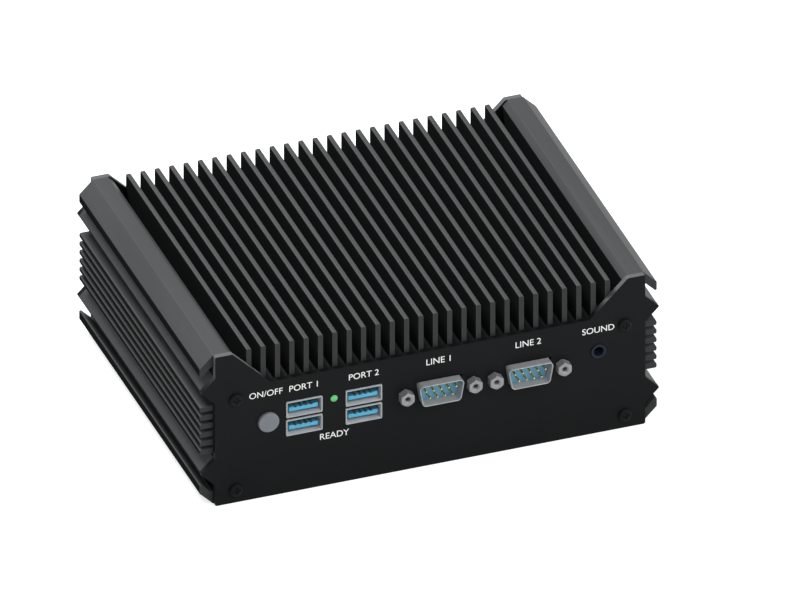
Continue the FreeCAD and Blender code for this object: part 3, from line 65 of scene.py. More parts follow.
Pair = Tuple[float, float]
Triple = Tuple[float, float, float]
Colour = Triple
Array = np.ndarray
Mesh = Tuple[Array, List[List[int]]]
Material = bpy.types.Material
Socket = bpy.types.NodeSocket
Input = Union[float, Colour, Socket]
Inputs = Dict[Union[int, str], Input]
log = logging.getLogger("industrial_computer")


# ---------------------------------------------------------------- places

class Facing(Enum):
    """Which way a piece looks: its right, up and outward directions in the frame."""

    FRONT = ((1.0, 0.0, 0.0), (0.0, 0.0, 1.0), (0.0, -1.0, 0.0))
    REAR = ((-1.0, 0.0, 0.0), (0.0, 0.0, 1.0), (0.0, 1.0, 0.0))

    def place(self, points: Array, origin: Sequence[float]) -> Array:
        """Turn right, up and outward distances from an origin into metres in the frame."""
        return (np.asarray(origin, dtype=float) + points @ np.array(self.value)) * MM


@dataclass(frozen=True)
class NodeBox:
    """The space that a construction node holds at rest, in millimetres."""

    low: Vector
    high: Vector

    @classmethod
    def of(cls, node: str) -> "NodeBox":
        """The box of a named construction node."""
        return cls(*(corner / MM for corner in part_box(node)))

    @property
    def centre(self) -> Vector:
        """The middle of the box."""
        return (self.low + self.high) / 2

    @property
    def size(self) -> Vector:
        """The box's length along each axis."""
        return self.high - self.low

    def seat(self, proud: float, facing: Facing = Facing.FRONT) -> Vector:
        """The box's middle, moved along Y to the plate's face that the node stands proud of."""
        face = self.low.y + proud if facing is Facing.FRONT else self.high.y - proud
        return Vector((self.centre.x, face, self.centre.z))


# ---------------------------------------------------------------- shapes

def ring(count: int) -> Array:
    """Evenly spaced angles once round, anticlockwise, without the closing one."""
    return np.linspace(0.0, 2.0 * math.pi, count, endpoint=False)


def around(radii: Array, levels: Union[float, Array], count: int) -> Array:
    """Rows of points round the outward axis.

    The point of row i at the angle a is (r cos a, r sin a, z), with the row's own r and z there.

    Args:
        radii: a column of each row's radius, or a table with its radius at each angle.
        levels: the same for its outward distance, or one distance for all.
        count: number of angles.

    Returns:
        A grid of rows by angles by three.
    """
    angles = ring(count)
    flat = np.broadcast_arrays(radii * np.cos(angles), radii * np.sin(angles), levels)
    return np.stack(flat, axis=-1)


def turned(profile: Sequence[Pair], count: int) -> Array:
    """A surface of revolution: each row has its radius and outward distance from a profile."""
    radii, levels = np.array(profile, dtype=float).T[..., None]
    return around(radii, levels, count)


def quarter(radius: float, middle: Pair, start: float, end: float, steps: int = 6) -> List[Pair]:
    """Points of an arc in a profile, from one angle in degrees to another."""
    angles = np.radians(np.linspace(start, end, steps))
    return [(middle[0] + radius * math.cos(a), middle[1] + radius * math.sin(a)) for a in angles]


def stacked(loops: Sequence[Tuple[Array, float]]) -> Array:
    """A grid through outlines of as many points each, given with their outward distances."""
    return np.stack([np.insert(points, 2, level, axis=1) for points, level in loops])


def block(low: Sequence[float], high: Sequence[float], bevel: float) -> Array:
    """A closed block whose outward and inward faces have bevelled rims.

    Its rows are rectangles one behind another. A rectangle's corners are the middle plus or minus
    half of the block's sides, less the bevel on both faces, and at the ends it shrinks to a point.

    Args:
        low: its lowest right, up and outward distances.
        high: its highest ones.
        bevel: width of the bevels.

    Returns:
        A grid of six rows by four points by three.
    """
    low, high = np.array(low), np.array(high)
    middle, half = (low + high)[:2] / 2, (high - low)[:2] / 2
    signs = np.array([(-1, -1), (1, -1), (1, 1), (-1, 1)])
    rows = ((0.0, high[2]), (half - bevel, high[2]), (half, high[2] - bevel),
            (half, low[2] + bevel), (half - bevel, low[2]), (0.0, low[2]))
    return stacked([(middle + signs * size, level) for size, level in rows])


def ribbon(path: Array, width: float, thickness: float, middle: float) -> Array:
    """A flat strip bent along a path in the up and outward plane.

    Each row is the strip's four-cornered section at one point of the path, with its thickness along
    the path's own normal there. The first and last rows shrink to points.

    Args:
        path: up and outward distances of each station, one row each.
        width: the strip's width along the right direction.
        thickness: its thickness.
        middle: right distance of its middle line.

    Returns:
        A grid of stations by four points by three.
    """
    tangent = np.gradient(path, axis=0)
    tangent /= np.linalg.norm(tangent, axis=1, keepdims=True)
    normal = np.stack([tangent[:, 1], -tangent[:, 0]], axis=-1)
    across = np.array([-0.5, 0.5, 0.5, -0.5]) * width
    along_normal = np.array([-0.5, -0.5, 0.5, 0.5]) * thickness
    flat = path[:, None, :] + normal[:, None, :] * along_normal[None, :, None]
    right = np.broadcast_to(across + middle, flat.shape[:2])
    body = np.concatenate([right[..., None], flat], axis=-1)
    ends = body[[0, -1]].mean(axis=1, keepdims=True).repeat(4, axis=1)
    return np.concatenate([ends[:1], body, ends[1:]])


def softened(corners: Array, radii: Union[float, Array], steps: int = 5,
             growth: float = 0.0) -> Array:
    """An outline whose corners, convex or hollow, are arcs, moved outward all round by a growth.

    With the unit directions d into a corner and e out of it, the turn t between them, the inward
    normal n of d and the arc's radius r, the arc's middle is the corner minus d r tan(t/2) plus n r.
    Its point at the angle a, from 0 to t, is that middle plus R (d sin(a) - n cos(a)), where R is r
    plus the growth, or less the growth at a hollow corner.

    Args:
        corners: the sharp outline's corners in order, one row each.
        radii: the arc's radius at each corner, or one for all, before the growth.
        steps: number of points on each arc.
        growth: distance by which an anticlockwise outline moves outward.

    Returns:
        The outline's points, one row each.
    """
    radii = np.broadcast_to(radii, len(corners))
    incoming = corners - np.roll(corners, 1, axis=0)
    incoming /= np.linalg.norm(incoming, axis=1, keepdims=True)
    outgoing = np.roll(incoming, -1, axis=0)
    cross = incoming[:, 0] * outgoing[:, 1] - incoming[:, 1] * outgoing[:, 0]
    turn = np.arctan2(np.abs(cross), (incoming * outgoing).sum(axis=1))
    side = np.where(cross >= 0, 1.0, -1.0)
    normal = np.stack([-incoming[:, 1], incoming[:, 0]], axis=-1) * side[:, None]
    middle = corners - incoming * (radii * np.tan(turn / 2))[:, None] + normal * radii[:, None]
    angle = turn[:, None] * np.linspace(0.0, 1.0, steps)
    reach = (radii + growth * side)[:, None]
    forward = incoming[:, None, :] * (reach * np.sin(angle))[..., None]
    inward = normal[:, None, :] * (reach * np.cos(angle))[..., None]
    return (middle[:, None, :] + forward - inward).reshape(-1, 2)


# ---------------------------------------------------------------- meshes

def outward(points: Array, faces: Array) -> Array:
    """The triangles of a closed surface, turned round where its volume comes out negative.

    The volume has the sign of the sum of a . (b x c) over its triangles abc.

    Args:
        points: the surface's points.
        faces: its triangles' indices, all with the same side out.

    Returns:
        The triangles with their outer side out.
    """
    first, second, third = (points[faces[:, i]] - points.mean(axis=0) for i in range(3))
    volume = (first * np.cross(second, third)).sum()
    return faces if volume > 0 else faces[:, ::-1]


def merged(grids: Sequence[Array], place: Sequence[float], facing: Facing = Facing.FRONT) -> Mesh:
    """Place closed grids, each of whose rows closes on itself, and join them into one mesh.

    Each cell between two rows makes two triangles. Equal points become one and triangles without
    area go.

    Args:
        grids: points of each surface in the face's coordinates, as rows by columns by three.
        place: where the face's own zero point is.
        facing: the way the face looks.

    Returns:
        Points in metres, and triangles.
    """
    points, faces, start = [], [], 0
    for grid in grids:
        index = np.arange(grid.shape[0] * grid.shape[1]).reshape(grid.shape[:2])
        after = np.roll(index, -1, axis=1)
        a, b, c, d = (part.ravel() for part in (index[:-1], index[1:], after[1:], after[:-1]))
        cells = np.concatenate([np.stack([a, b, c], axis=1), np.stack([a, c, d], axis=1)])
        points.append(facing.place(grid.reshape(-1, 3), place))
        faces.append(outward(points[-1], cells) + start)
        start += index.size
    everything = np.concatenate(points)
    _, first, same = np.unique(np.round(everything, MERGE_DECIMALS), axis=0,
                               return_index=True, return_inverse=True)
    joined = same.reshape(-1)[np.concatenate(faces)]
    a, b, c = joined.T
    return everything[first], joined[(a != b) & (b != c) & (a != c)].tolist()


def link_object(name: str, data: bpy.types.ID) -> bpy.types.Object:
    """Put a mesh, a text, a lamp or a camera into the scene.

    Args:
        name: the new object's name.
        data: what it holds.

    Returns:
        The new object, at the origin.
    """
    thing = bpy.data.objects.new(name, data)
    bpy.context.scene.collection.objects.link(thing)
    return thing


def link_mesh(name: str, mesh: Mesh, crease: Optional[float] = None) -> bpy.types.Object:
    """Put points and faces into a new object.

    Args:
        name: the object's name.
        mesh: its points in metres and its faces' indices.
        crease: angle in degrees above which an edge stays sharp, or none for flat faces.

    Returns:
        The new object, at the origin.
    """
    data = bpy.data.meshes.new(name)
    data.from_pydata(mesh[0].tolist(), [], mesh[1])
    data.update()
    if crease is not None:
        data.shade_smooth()
        data.set_sharp_from_angle(angle=math.radians(crease))
    return link_object(name, data)


# ---------------------------------------------------------------- finishes

@dataclass(frozen=True)
class Grain:
    """A noise: its cells in a metre, a factor on them along each axis, and its finer layers."""

    per_metre: float
    stretch: Triple = (1.0, 1.0, 1.0)
    detail: float = 2.0
    roughness: float = 0.5


MOST: Pair = (0.3, 0.7)
MIDDLE: Pair = (0.35, 0.65)
FULL: Pair = (0.0, 1.0)
EDGE_COSINES: Pair = (1.0, 0.88)
BEVEL_SAMPLES = 6
MIX_SHARE, MIX_FIRST, MIX_SECOND, MIX_RESULT = 0, 6, 7, 2


def shade(colour: Colour, share: float) -> Colour:
    """A colour made darker or lighter."""
    return tuple(min(1.0, part * share) for part in colour)


def feed(node: bpy.types.Node, inputs: Inputs) -> None:
    """Set inputs of a node to numbers or colours, or link other sockets to them.

    Args:
        node: the node.
        inputs: what its inputs get, by their names or numbers.
    """
    for key, value in inputs.items():
        target = node.inputs[key]
        if isinstance(value, Socket):
            node.id_data.links.new(value, target)
        elif isinstance(value, tuple) and len(target.default_value) == 4:
            target.default_value = (*value, 1.0)
        else:
            target.default_value = value


def add_node(tree: bpy.types.NodeTree, kind: str, inputs: Optional[Inputs] = None,
             **settings: Union[int, str]) -> bpy.types.Node:
    """Add a shader node to a tree.

    Args:
        tree: the tree.
        kind: the node's type, without the word ShaderNode in front of it.
        inputs: what its inputs get, by their names or numbers.
        settings: the node's own options.

    Returns:
        The new node.
    """
    node = tree.nodes.new("ShaderNode" + kind)
    for key, value in settings.items():
        setattr(node, key, value)
    feed(node, inputs or {})
    return node


class Graph:
    """One node material under construction, with its pattern, its clouds and its plain colour."""

    def __init__(self, finish: "Finish") -> None:
        """Start a material with what every finish has.

        Args:
            finish: the finish that it is for.
        """
        self.material = bpy.data.materials.new(finish.name)
        self.material.use_nodes = True
        self.material.node_tree.nodes.clear()
        self.shader = self.node("BsdfPrincipled")
        self.output = self.node("OutputMaterial", {"Surface": self.shader.outputs["BSDF"]})
        self.places = self.node("TexCoord").outputs
        self.pattern, self.clouds = self.noise(finish.pattern), self.noise(finish.clouds)
        self.tone = self.tint(self.clouds, finish.span, finish.colour, finish.shares)
        self.relief(self.pattern, finish)
        feed(self.shader, {"Base Color": self.tone, "Metallic": finish.metallic,
                           "Specular IOR Level": finish.specular,
                           "Roughness": self.between(self.pattern, MOST, finish.rough)})

    def node(self, kind: str, inputs: Optional[Inputs] = None,
             **settings: Union[int, str]) -> bpy.types.Node:
        """Add a node to the material, as add_node does."""
        return add_node(self.material.node_tree, kind, inputs, **settings)

    def noise(self, grain: Grain) -> Socket:
        """Cloudy noise of one fineness, about 0.5 in the middle."""
        place = self.node("Mapping", {"Vector": self.places["Object"], "Scale": grain.stretch})
        return self.node("TexNoise", {"Vector": place.outputs["Vector"], "Scale": grain.per_metre,
                                      "Detail": grain.detail, "Roughness": grain.roughness}).outputs["Fac"]

    def cells(self, per_metre: float, feature: str = "F1") -> Socket:
        """Distance to the nearest point or edge of a scatter of cells."""
        return self.node("TexVoronoi", {"Vector": self.places["Object"], "Scale": per_metre},
                         feature=feature).outputs["Distance"]

    def between(self, value: Input, span: Pair, to: Pair = FULL) -> Socket:
        """Stretch a value from one range to another and hold it there."""
        return self.node("MapRange", {"Value": value, "From Min": span[0], "From Max": span[1],
                                      "To Min": to[0], "To Max": to[1]}).outputs["Result"]

    def math(self, operation: str, first: Input, second: Input = 0.0) -> Socket:
        """The result of one sum, named in the node's own words, of two values."""
        return self.node("Math", {0: first, 1: second}, operation=operation).outputs["Value"]

    def times(self, first: Input, second: Input) -> Socket:
        """The product of two values."""
        return self.math("MULTIPLY", first, second)

    def blend(self, first: Socket, second: Socket, share: float) -> Socket:
        """Two patterns added up, the first at its share and the second at the rest."""
        return self.math("ADD", self.times(first, share), self.times(second, 1.0 - share))

    def mix(self, share: Input, first: Input, second: Input) -> Socket:
        """A colour between two colours: the first at a share of 0, the second at 1."""
        inputs = {MIX_SHARE: share, MIX_FIRST: first, MIX_SECOND: second}
        return self.node("Mix", inputs, data_type="RGBA").outputs[MIX_RESULT]

    def tint(self, pattern: Socket, span: Pair, colour: Colour, shares: Pair) -> Socket:
        """A colour times one share where a pattern is low and times another where it is high."""
        return self.mix(self.between(pattern, span), *(shade(colour, share) for share in shares))

    def along(self, coordinate: str, axis: str, span: Pair) -> Socket:
        """One axis's part of a texture coordinate without its sign, stretched from a range."""
        apart = self.node("SeparateXYZ", {0: self.places[coordinate]})
        return self.between(self.math("ABSOLUTE", apart.outputs[axis]), span)

    def lean(self, axis: str, cosines: Pair) -> Socket:
        """How squarely a face looks along one axis, either way."""
        return self.along("Normal", axis, cosines)

    def reach(self, axis: str, distances: Pair) -> Socket:
        """0 at one distance from the middle plane of an axis and 1 at another, held beyond them."""
        return self.along("Object", axis, distances)

    def edges(self, radius: float) -> Socket:
        """How much a spot lies on an edge, by the cosine between its bevelled and its own normal."""
        normals = {0: self.node("Bevel", {"Radius": radius}, samples=BEVEL_SAMPLES).outputs["Normal"],
                   1: self.node("NewGeometry").outputs["Normal"]}
        return self.between(self.node("VectorMath", normals, operation="DOT_PRODUCT").outputs["Value"],
                            EDGE_COSINES)

    def relief(self, height: Socket, finish: "Finish") -> None:
        """Raise the surface by a height, whose full range is the finish's depth."""
        bump = self.node("Bump", {"Strength": finish.relief, "Distance": finish.depth, "Height": height})
        feed(self.shader, {"Normal": bump.outputs["Normal"]})


@dataclass(frozen=True)
class Finish:
    """A finish: a pattern in relief and in roughness, and a colour that varies in clouds.

    The colour takes its two shares, and the roughness its two values, where a noise is low and high.
    """

    name: str
    colour: Colour
    rough: Pair
    shares: Pair = (0.9, 1.0)
    span: Pair = MOST
    pattern: Grain = Grain(9000.0, detail=1.0)
    clouds: Grain = Grain(9000.0, detail=1.0)
    depth: float = 0.006 * MM
    relief: float = 0.4
    specular: float = 0.5
    metallic: float = 0.0

    def make(self) -> Material:
        """Build the material and add what only this kind of finish has.

        Returns:
            The material.
        """
        graph = Graph(self)
        feed(graph.shader, self.details(graph))
        return graph.material

    def details(self, graph: Graph) -> Inputs:
        """What the shader gets in place of the plain colour and roughness."""
        return {}


@dataclass(frozen=True)
class ExtrudedAluminium(Finish):
    """Black anodised extrusion: streaks along its length, edges paler as rubbing and painted highlight,
    painted shade on flanks, ends and fin gaps.
    """

    name: str = "black_anodised_extrusion"
    colour: Colour = (0.050, 0.0515, 0.053)
    rough: Pair = (0.45, 0.55)
    shares: Pair = (0.88, 1.12)
    span: Pair = MIDDLE
    pattern: Grain = Grain(3000.0, (1.0, 0.006, 1.0), 3.0, 0.6)
    clouds: Grain = Grain(28.0, (1.0, 0.35, 1.0), 3.0, 0.55)
    depth: float = 0.012 * MM
    relief: float = 0.6
    specular: float = 0.12
    grain: Grain = Grain(9000.0, detail=1.0)
    pale_and_highlight_colour: Colour = (0.075, 0.077, 0.08)
    flank_shade_colour: Colour = (0.009, 0.0094, 0.0098)
    end_shade_colour: Colour = (0.03, 0.031, 0.032)
    flank_lean: Pair = (0.75, 0.95)
    end_lean: Pair = (0.6, 0.9)
    shaded_gap_levels: Pair = (50.0 * MM, 46.0 * MM)
    shaded_gap_sides: Pair = (73.0 * MM, 72.0 * MM)
    wear_and_highlight: Pair = (0.35, 0.8)
    edge_radius: float = 0.25 * MM

    def details(self, graph: Graph) -> Inputs:
        """Paint shade on the flanks, the ends and the gaps between the fins, and paint the edges paler, as
        rubbing and as a highlight.

        Args:
            graph: the material.

        Returns:
            Its colour and its specular level.
        """
        streaks = graph.blend(graph.pattern, graph.clouds, 0.5)
        body = graph.tint(streaks, self.span, self.colour, self.shares)
        # Painted shade: the upright flanks, and everything below the fin roots between the shoulders, get a
        # near-black colour.
        flank = graph.lean("X", self.flank_lean)
        gap = graph.times(graph.reach("Z", self.shaded_gap_levels), graph.reach("X", self.shaded_gap_sides))
        body = graph.mix(graph.math("MAXIMUM", flank, gap), body, self.flank_shade_colour)
        # Painted shade: faces that look along the length, at the extrusion's ends, get a darker colour.
        body = graph.mix(graph.lean("Y", self.end_lean), body, self.end_shade_colour)
        # Edges are paler where the clouds allow it: partly rubbing, partly a painted highlight.
        worn_and_lit = graph.times(graph.edges(self.edge_radius), graph.between(graph.clouds, MOST, self.wear_and_highlight))
        graph.relief(graph.blend(graph.pattern, graph.noise(self.grain), 0.6), self)
        return {"Base Color": graph.mix(worn_and_lit, body, self.pale_and_highlight_colour),
                "Specular IOR Level": graph.between(flank, FULL, (self.specular, 0.0))}


@dataclass(frozen=True)
class CoatedSheet(Finish):
    """Matt black powder coat on sheet: fine orange-peel, sparse pale specks, and a painted highlight on its
    rim and its rubbed edges high up.
    """

    colour: Colour = (0.0072, 0.0084, 0.0088)
    rough: Pair = (0.49, 0.61)
    shares: Pair = (0.9, 1.1)
    pattern: Grain = Grain(2600.0, detail=3.0, roughness=0.55)
    clouds: Grain = Grain(22.0)
    depth: float = 0.02 * MM
    relief: float = 0.5
    specular: float = 0.06
    pale_and_highlight_colour: Colour = (0.10, 0.102, 0.105)
    specks_per_metre: float = 5200.0
    speck_span: Pair = (0.09, 0.02)
    speck_share: float = 0.12
    highlight_levels: Pair = (48.0 * MM, 52.0 * MM)
    rim_lean: Pair = (0.6, 0.4)
    wear_and_highlight: Pair = (0.3, 0.6)
    edge_radius: float = 0.2 * MM

    def details(self, graph: Graph) -> Inputs:
        """Scatter the specks, and paint a highlight on the rim and on the rubbed edges high up.

        Args:
            graph: the material.

        Returns:
            Its colour.
        """
        specks = graph.between(graph.cells(self.specks_per_metre), self.speck_span)
        # Painted highlight: the paler rim and edges are held to the plate's upper part, where the light
        # reaches.
        high = graph.reach("Z", self.highlight_levels)
        worn_and_lit = graph.times(graph.edges(self.edge_radius), graph.between(graph.clouds, MOST, self.wear_and_highlight))
        body = graph.tone
        # The specks are real; the rim and the edge mixes are a painted highlight, on the edges partly
        # rubbing.
        for share in (graph.times(specks, self.speck_share),
                      graph.times(graph.lean("Y", self.rim_lean), high), graph.times(worn_and_lit, high)):
            body = graph.mix(share, body, self.pale_and_highlight_colour)
        return {"Base Color": body}


@dataclass(frozen=True)
class Metal(Finish):
    """Bare or plated metal: rolled streaks along one axis, faint stains and softened glints.

    Its roughness follows the stains. Where it looks along Y it is painted darker by a share of its colour,
    as shade.
    """

    shares: Pair = (1.0, 0.86)
    span: Pair = (0.35, 0.7)
    pattern: Grain = Grain(7000.0, (0.04, 1.0, 1.0), 3.0, 0.6)
    clouds: Grain = Grain(260.0, detail=3.0, roughness=0.6)
    relief: float = 0.5
    metallic: float = 1.0
    forward_shade_share: float = 1.0
    forward_shade_lean: Pair = (0.7, 0.95)

    def details(self, graph: Graph) -> Inputs:
        """The colour with painted shade where it looks along Y, and the stained roughness."""
        # Painted shade: faces that look along Y, such as the shells' front rims, get a darker share of the
        # colour.
        forward_shaded = graph.mix(graph.lean("Y", self.forward_shade_lean), graph.tone, shade(self.colour, self.forward_shade_share))
        return {"Base Color": forward_shaded if self.forward_shade_share < 1.0 else graph.tone,
                "Roughness": graph.between(graph.clouds, MOST, self.rough)}


@dataclass(frozen=True)
class Plastic(Finish):
    """Moulded plastic: fine spark-eroded texture, with a share of the colour on level faces as painted
    shade.
    """

    shares: Pair = (0.93, 1.06)
    pattern: Grain = Grain(6000.0)
    clouds: Grain = Grain(180.0, (1.0, 1.0, 0.3), 3.0, 0.55)
    depth: float = 0.008 * MM
    relief: float = 0.5
    specular: float = 0.35
    top_shade_share: float = 1.0
    top_shade_lean: Pair = (0.7, 0.95)

    def details(self, graph: Graph) -> Inputs:
        """The colour with painted shade on its level faces."""
        # Painted shade: level faces get a darker share of the colour, as the shade under the shell's top
        # wall.
        upper = graph.mix(graph.lean("Z", self.top_shade_lean), graph.tone, shade(self.colour, self.top_shade_share))
        return {"Base Color": upper if self.top_shade_share < 1.0 else graph.tone}


@dataclass(frozen=True)
class CircuitLaminate(Finish):
    """Circuit board: lacquer over tracks that stand up, with pale pads where cells meet."""

    name: str = "circuit_laminate"
    colour: Colour = (0.012, 0.11, 0.045)
    rough: Pair = (0.24, 0.4)
    pattern: Grain = Grain(4200.0, (1.0, 0.2, 1.0))
    depth: float = 0.02 * MM
    relief: float = 0.5
    track: Colour = (0.03, 0.2, 0.09)
    pad: Colour = (0.55, 0.5, 0.36)
    tracks_per_metre: float = 520.0
    track_span: Pair = (0.05, 0.08)
    pads_per_metre: float = 760.0
    pad_span: Pair = (0.16, 0.12)
    weave_share: float = 0.2

    def details(self, graph: Graph) -> Inputs:
        """Draw the tracks and the pads.

        Args:
            graph: the material.

        Returns:
            Its colour and its roughness.
        """
        tracks = graph.between(graph.cells(self.tracks_per_metre, "DISTANCE_TO_EDGE"), self.track_span)
        pads = graph.between(graph.cells(self.pads_per_metre), self.pad_span)
        graph.relief(graph.math("ADD", tracks, graph.times(graph.pattern, self.weave_share)), self)
        return {"Base Color": graph.mix(pads, graph.mix(tracks, self.track, self.colour), self.pad),
                "Roughness": graph.between(pads, FULL, self.rough)}


@dataclass(frozen=True)
class LampLens(Finish):
    """Cast resin lens of a lamp that is lit, a little cloudy inside."""

    name: str = "green_lamp_lens"
    colour: Colour = (0.08, 0.42, 0.13)
    rough: Pair = (0.22, 0.22)
    shares: Pair = (0.85, 1.15)
    span: Pair = MIDDLE
    pattern: Grain = Grain(5000.0)
    clouds: Grain = Grain(900.0)
    depth: float = 0.004 * MM
    glow: Colour = (0.12, 0.62, 0.17)
    glow_shares: Pair = (0.9, 1.0)
    strength: float = 0.14

    def details(self, graph: Graph) -> Inputs:
        """The lamp's light."""
        return {"Emission Color": graph.tint(graph.clouds, MOST, self.glow, self.glow_shares),
                "Emission Strength": self.strength}


@dataclass(frozen=True)
class StudioPaper(Finish):
    """Matt pale paper that a camera, a glossy or a clear surface sees as white, shadows kept."""

    name: str = "studio_paper"
    colour: Colour = (0.62, 0.62, 0.62)
    rough: Pair = (0.9, 0.9)
    shares: Pair = (1.0, 0.98)
    pattern: Grain = Grain(900.0)
    clouds: Grain = Grain(900.0)
    depth: float = 0.02 * MM
    relief: float = 0.2
    shown: Colour = (0.5, 0.5, 0.5)
    lift: float = 0.74

    def details(self, graph: Graph) -> Inputs:
        """Show a camera, a glossy or a clear surface an even white over a matt grey.

        Args:
            graph: the material.

        Returns:
            Nothing, because the paper itself stays plain.
        """
        rays = graph.node("LightPath").outputs
        seen = graph.math("MAXIMUM", rays["Is Glossy Ray"], rays["Is Transmission Ray"])
        seen = graph.math("MAXIMUM", rays["Is Camera Ray"], seen)
        white = graph.node("Emission", {"Strength": self.lift}).outputs["Emission"]
        matt = graph.node("BsdfDiffuse", {"Color": self.shown}).outputs["BSDF"]
        total = graph.node("AddShader", {0: white, 1: matt}).outputs["Shader"]
        choice = graph.node("MixShader", {0: seen, 1: graph.shader.outputs["BSDF"], 2: total})
        feed(graph.output, {"Surface": choice.outputs["Shader"]})
        return {}


def make_finishes() -> Dict[str, Material]:
    """Build every finish of the computer once.

    Returns:
        The materials by their names.
    """
    finishes = (
        ExtrudedAluminium(), CoatedSheet("black_front_coat"), CoatedSheet("black_sheet_coat"),
        CoatedSheet("black_screw_coat", (0.0075, 0.0082, 0.0085), (0.44, 0.56),
                    pattern=Grain(4000.0, detail=3.0, roughness=0.55)),
        # The forward share darkens the socket shells' front faces as painted shade.
        Metal("tinned_socket_steel", (0.60, 0.62, 0.64), (0.40, 0.53), metallic=0.15, forward_shade_share=0.6),
        Metal("drawn_shell_steel", (0.40, 0.41, 0.42), (0.37, 0.50), metallic=0.3, forward_shade_share=0.85),
        Metal("nickel_plate", (0.27, 0.28, 0.29), (0.45, 0.58), metallic=0.35,
              pattern=Grain(7000.0, (1.0, 1.0, 0.05), 3.0, 0.6)),
        Metal("zinc_plate", (0.58, 0.59, 0.6), (0.30, 0.43)),
        Metal("turned_brass", (0.62, 0.43, 0.16), (0.25, 0.38),
              pattern=Grain(7000.0, (1.0, 1.0, 0.08), 3.0, 0.6)),
        Metal("gold_flash", (0.80, 0.56, 0.20), (0.21, 0.34),
              pattern=Grain(7000.0, (1.0, 0.05, 1.0), 3.0, 0.6)),
        Metal("milled_aluminium", (0.62, 0.63, 0.64), (0.29, 0.42),
              pattern=Grain(7000.0, (1.0, 0.03, 1.0), 3.0, 0.6)),
        # Spring contacts painted dark, as brass lying in the tongue's shade.
        Metal("shaded_spring_brass", (0.16, 0.15, 0.12), (0.35, 0.48), metallic=0.8,
              pattern=Grain(7000.0, (1.0, 0.05, 1.0), 3.0, 0.6)),
        # The tongue's level faces are painted darker, as the shade under the shell's top wall.
        Plastic("blue_tongue_plastic", (0.07, 0.38, 0.58), (0.35, 0.45), top_shade_share=0.55),
        Plastic("blue_insert_plastic", (0.13, 0.34, 0.50), (0.37, 0.47)),
        Plastic("grey_button_plastic", (0.165, 0.18, 0.20), (0.45, 0.55)),
        Plastic("navy_socket_plastic", (0.008, 0.014, 0.024), (0.40, 0.50), specular=0.15),
        Plastic("black_socket_plastic", (0.013, 0.013, 0.014), (0.40, 0.50)),
        Plastic("chip_package", (0.03, 0.05, 0.035), (0.45, 0.55)),
        Plastic("thermal_pad_silicone", (0.28, 0.3, 0.36), (0.65, 0.75), pattern=Grain(2500.0)),
        Plastic("sintered_ferrite", (0.05, 0.05, 0.052), (0.55, 0.65), pattern=Grain(3000.0)),
        CircuitLaminate(), LampLens(),
        LampLens("amber_lamp_lens", (0.6, 0.3, 0.03), glow=(0.7, 0.3, 0.03), strength=0.1),
        Finish("white_ink", (0.93, 0.93, 0.92), (0.6, 0.6)),
    )
    return {finish.name: finish.make() for finish in finishes}


# ---------------------------------------------------------------- sub-assemblies

@dataclass
class SubAssembly:
    """What every sub-assembly has: the computer's finishes, by their names."""

    finishes: Dict[str, Material]

    def add(self, name: str, mesh: Mesh, finish: str, slot: str, *replaces: str,
            body: str = COMPUTER, crease: Optional[float] = 35.0) -> None:
        """Make a piece, give it its finish and its body, and hide what it stands for.

        Args:
            name: the piece's name.
            mesh: its points in metres and its faces' indices.
            finish: the name of its finish.
            slot: the record's material slot; not used.
            replaces: construction nodes that it stands for.
            body: the body that carries it.
            crease: angle in degrees above which an edge stays sharp, or none for flat faces.
        """
        piece = link_mesh(name, mesh, crease)
        piece.data.materials.append(self.finishes[finish])
        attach(piece, body)
        if replaces:
            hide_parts(*replaces)
        log.info("%s: %d faces on %s", name, len(piece.data.polygons), body)


@dataclass
class KeptNodes(SubAssembly):
    """Construction nodes whose shape is right: each gets its finish and nothing else."""

    NODES: ClassVar[Dict[str, str]] = {
        "black_front_coat": "front_plate",
        "black_sheet_coat": "rear_plate bottom_cover",
        "black_screw_coat": "bottom_cover_screws",
        "circuit_laminate": "mainboard memory_module storage_card",
        "zinc_plate": "mounting_nuts mainboard_screws heat_block_screws storage_screw",
        "turned_brass": "mainboard_standoffs storage_spacer",
        "milled_aluminium": "heat_spreader_block supply_capacitors",
        "thermal_pad_silicone": "thermal_pad",
        "chip_package": "processor",
        "sintered_ferrite": "supply_coils",
        "nickel_plate": "clock_cell power_switch_dome power_inlet_pin",
        "black_socket_plastic": "memory_socket storage_socket clock_cell_holder power_switch_housing "
                                "status_light_holder power_inlet display_tongue",
        "tinned_socket_steel": "display_socket usb_shell_left usb_shell_right usb_shell_rear "
                               "lan_socket_left lan_socket_right",
        "blue_insert_plastic": "serial_insulator_left serial_insulator_right",
        "gold_flash": "lan_contacts_left lan_contacts_right",
    }

    def build(self) -> None:
        """Give every kept node its finish."""
        for finish, nodes in self.NODES.items():
            for name in nodes.split():
                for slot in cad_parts[name].material_slots:
                    slot.material = self.finishes[finish]
                log.info("%s dressed in %s", name, finish)


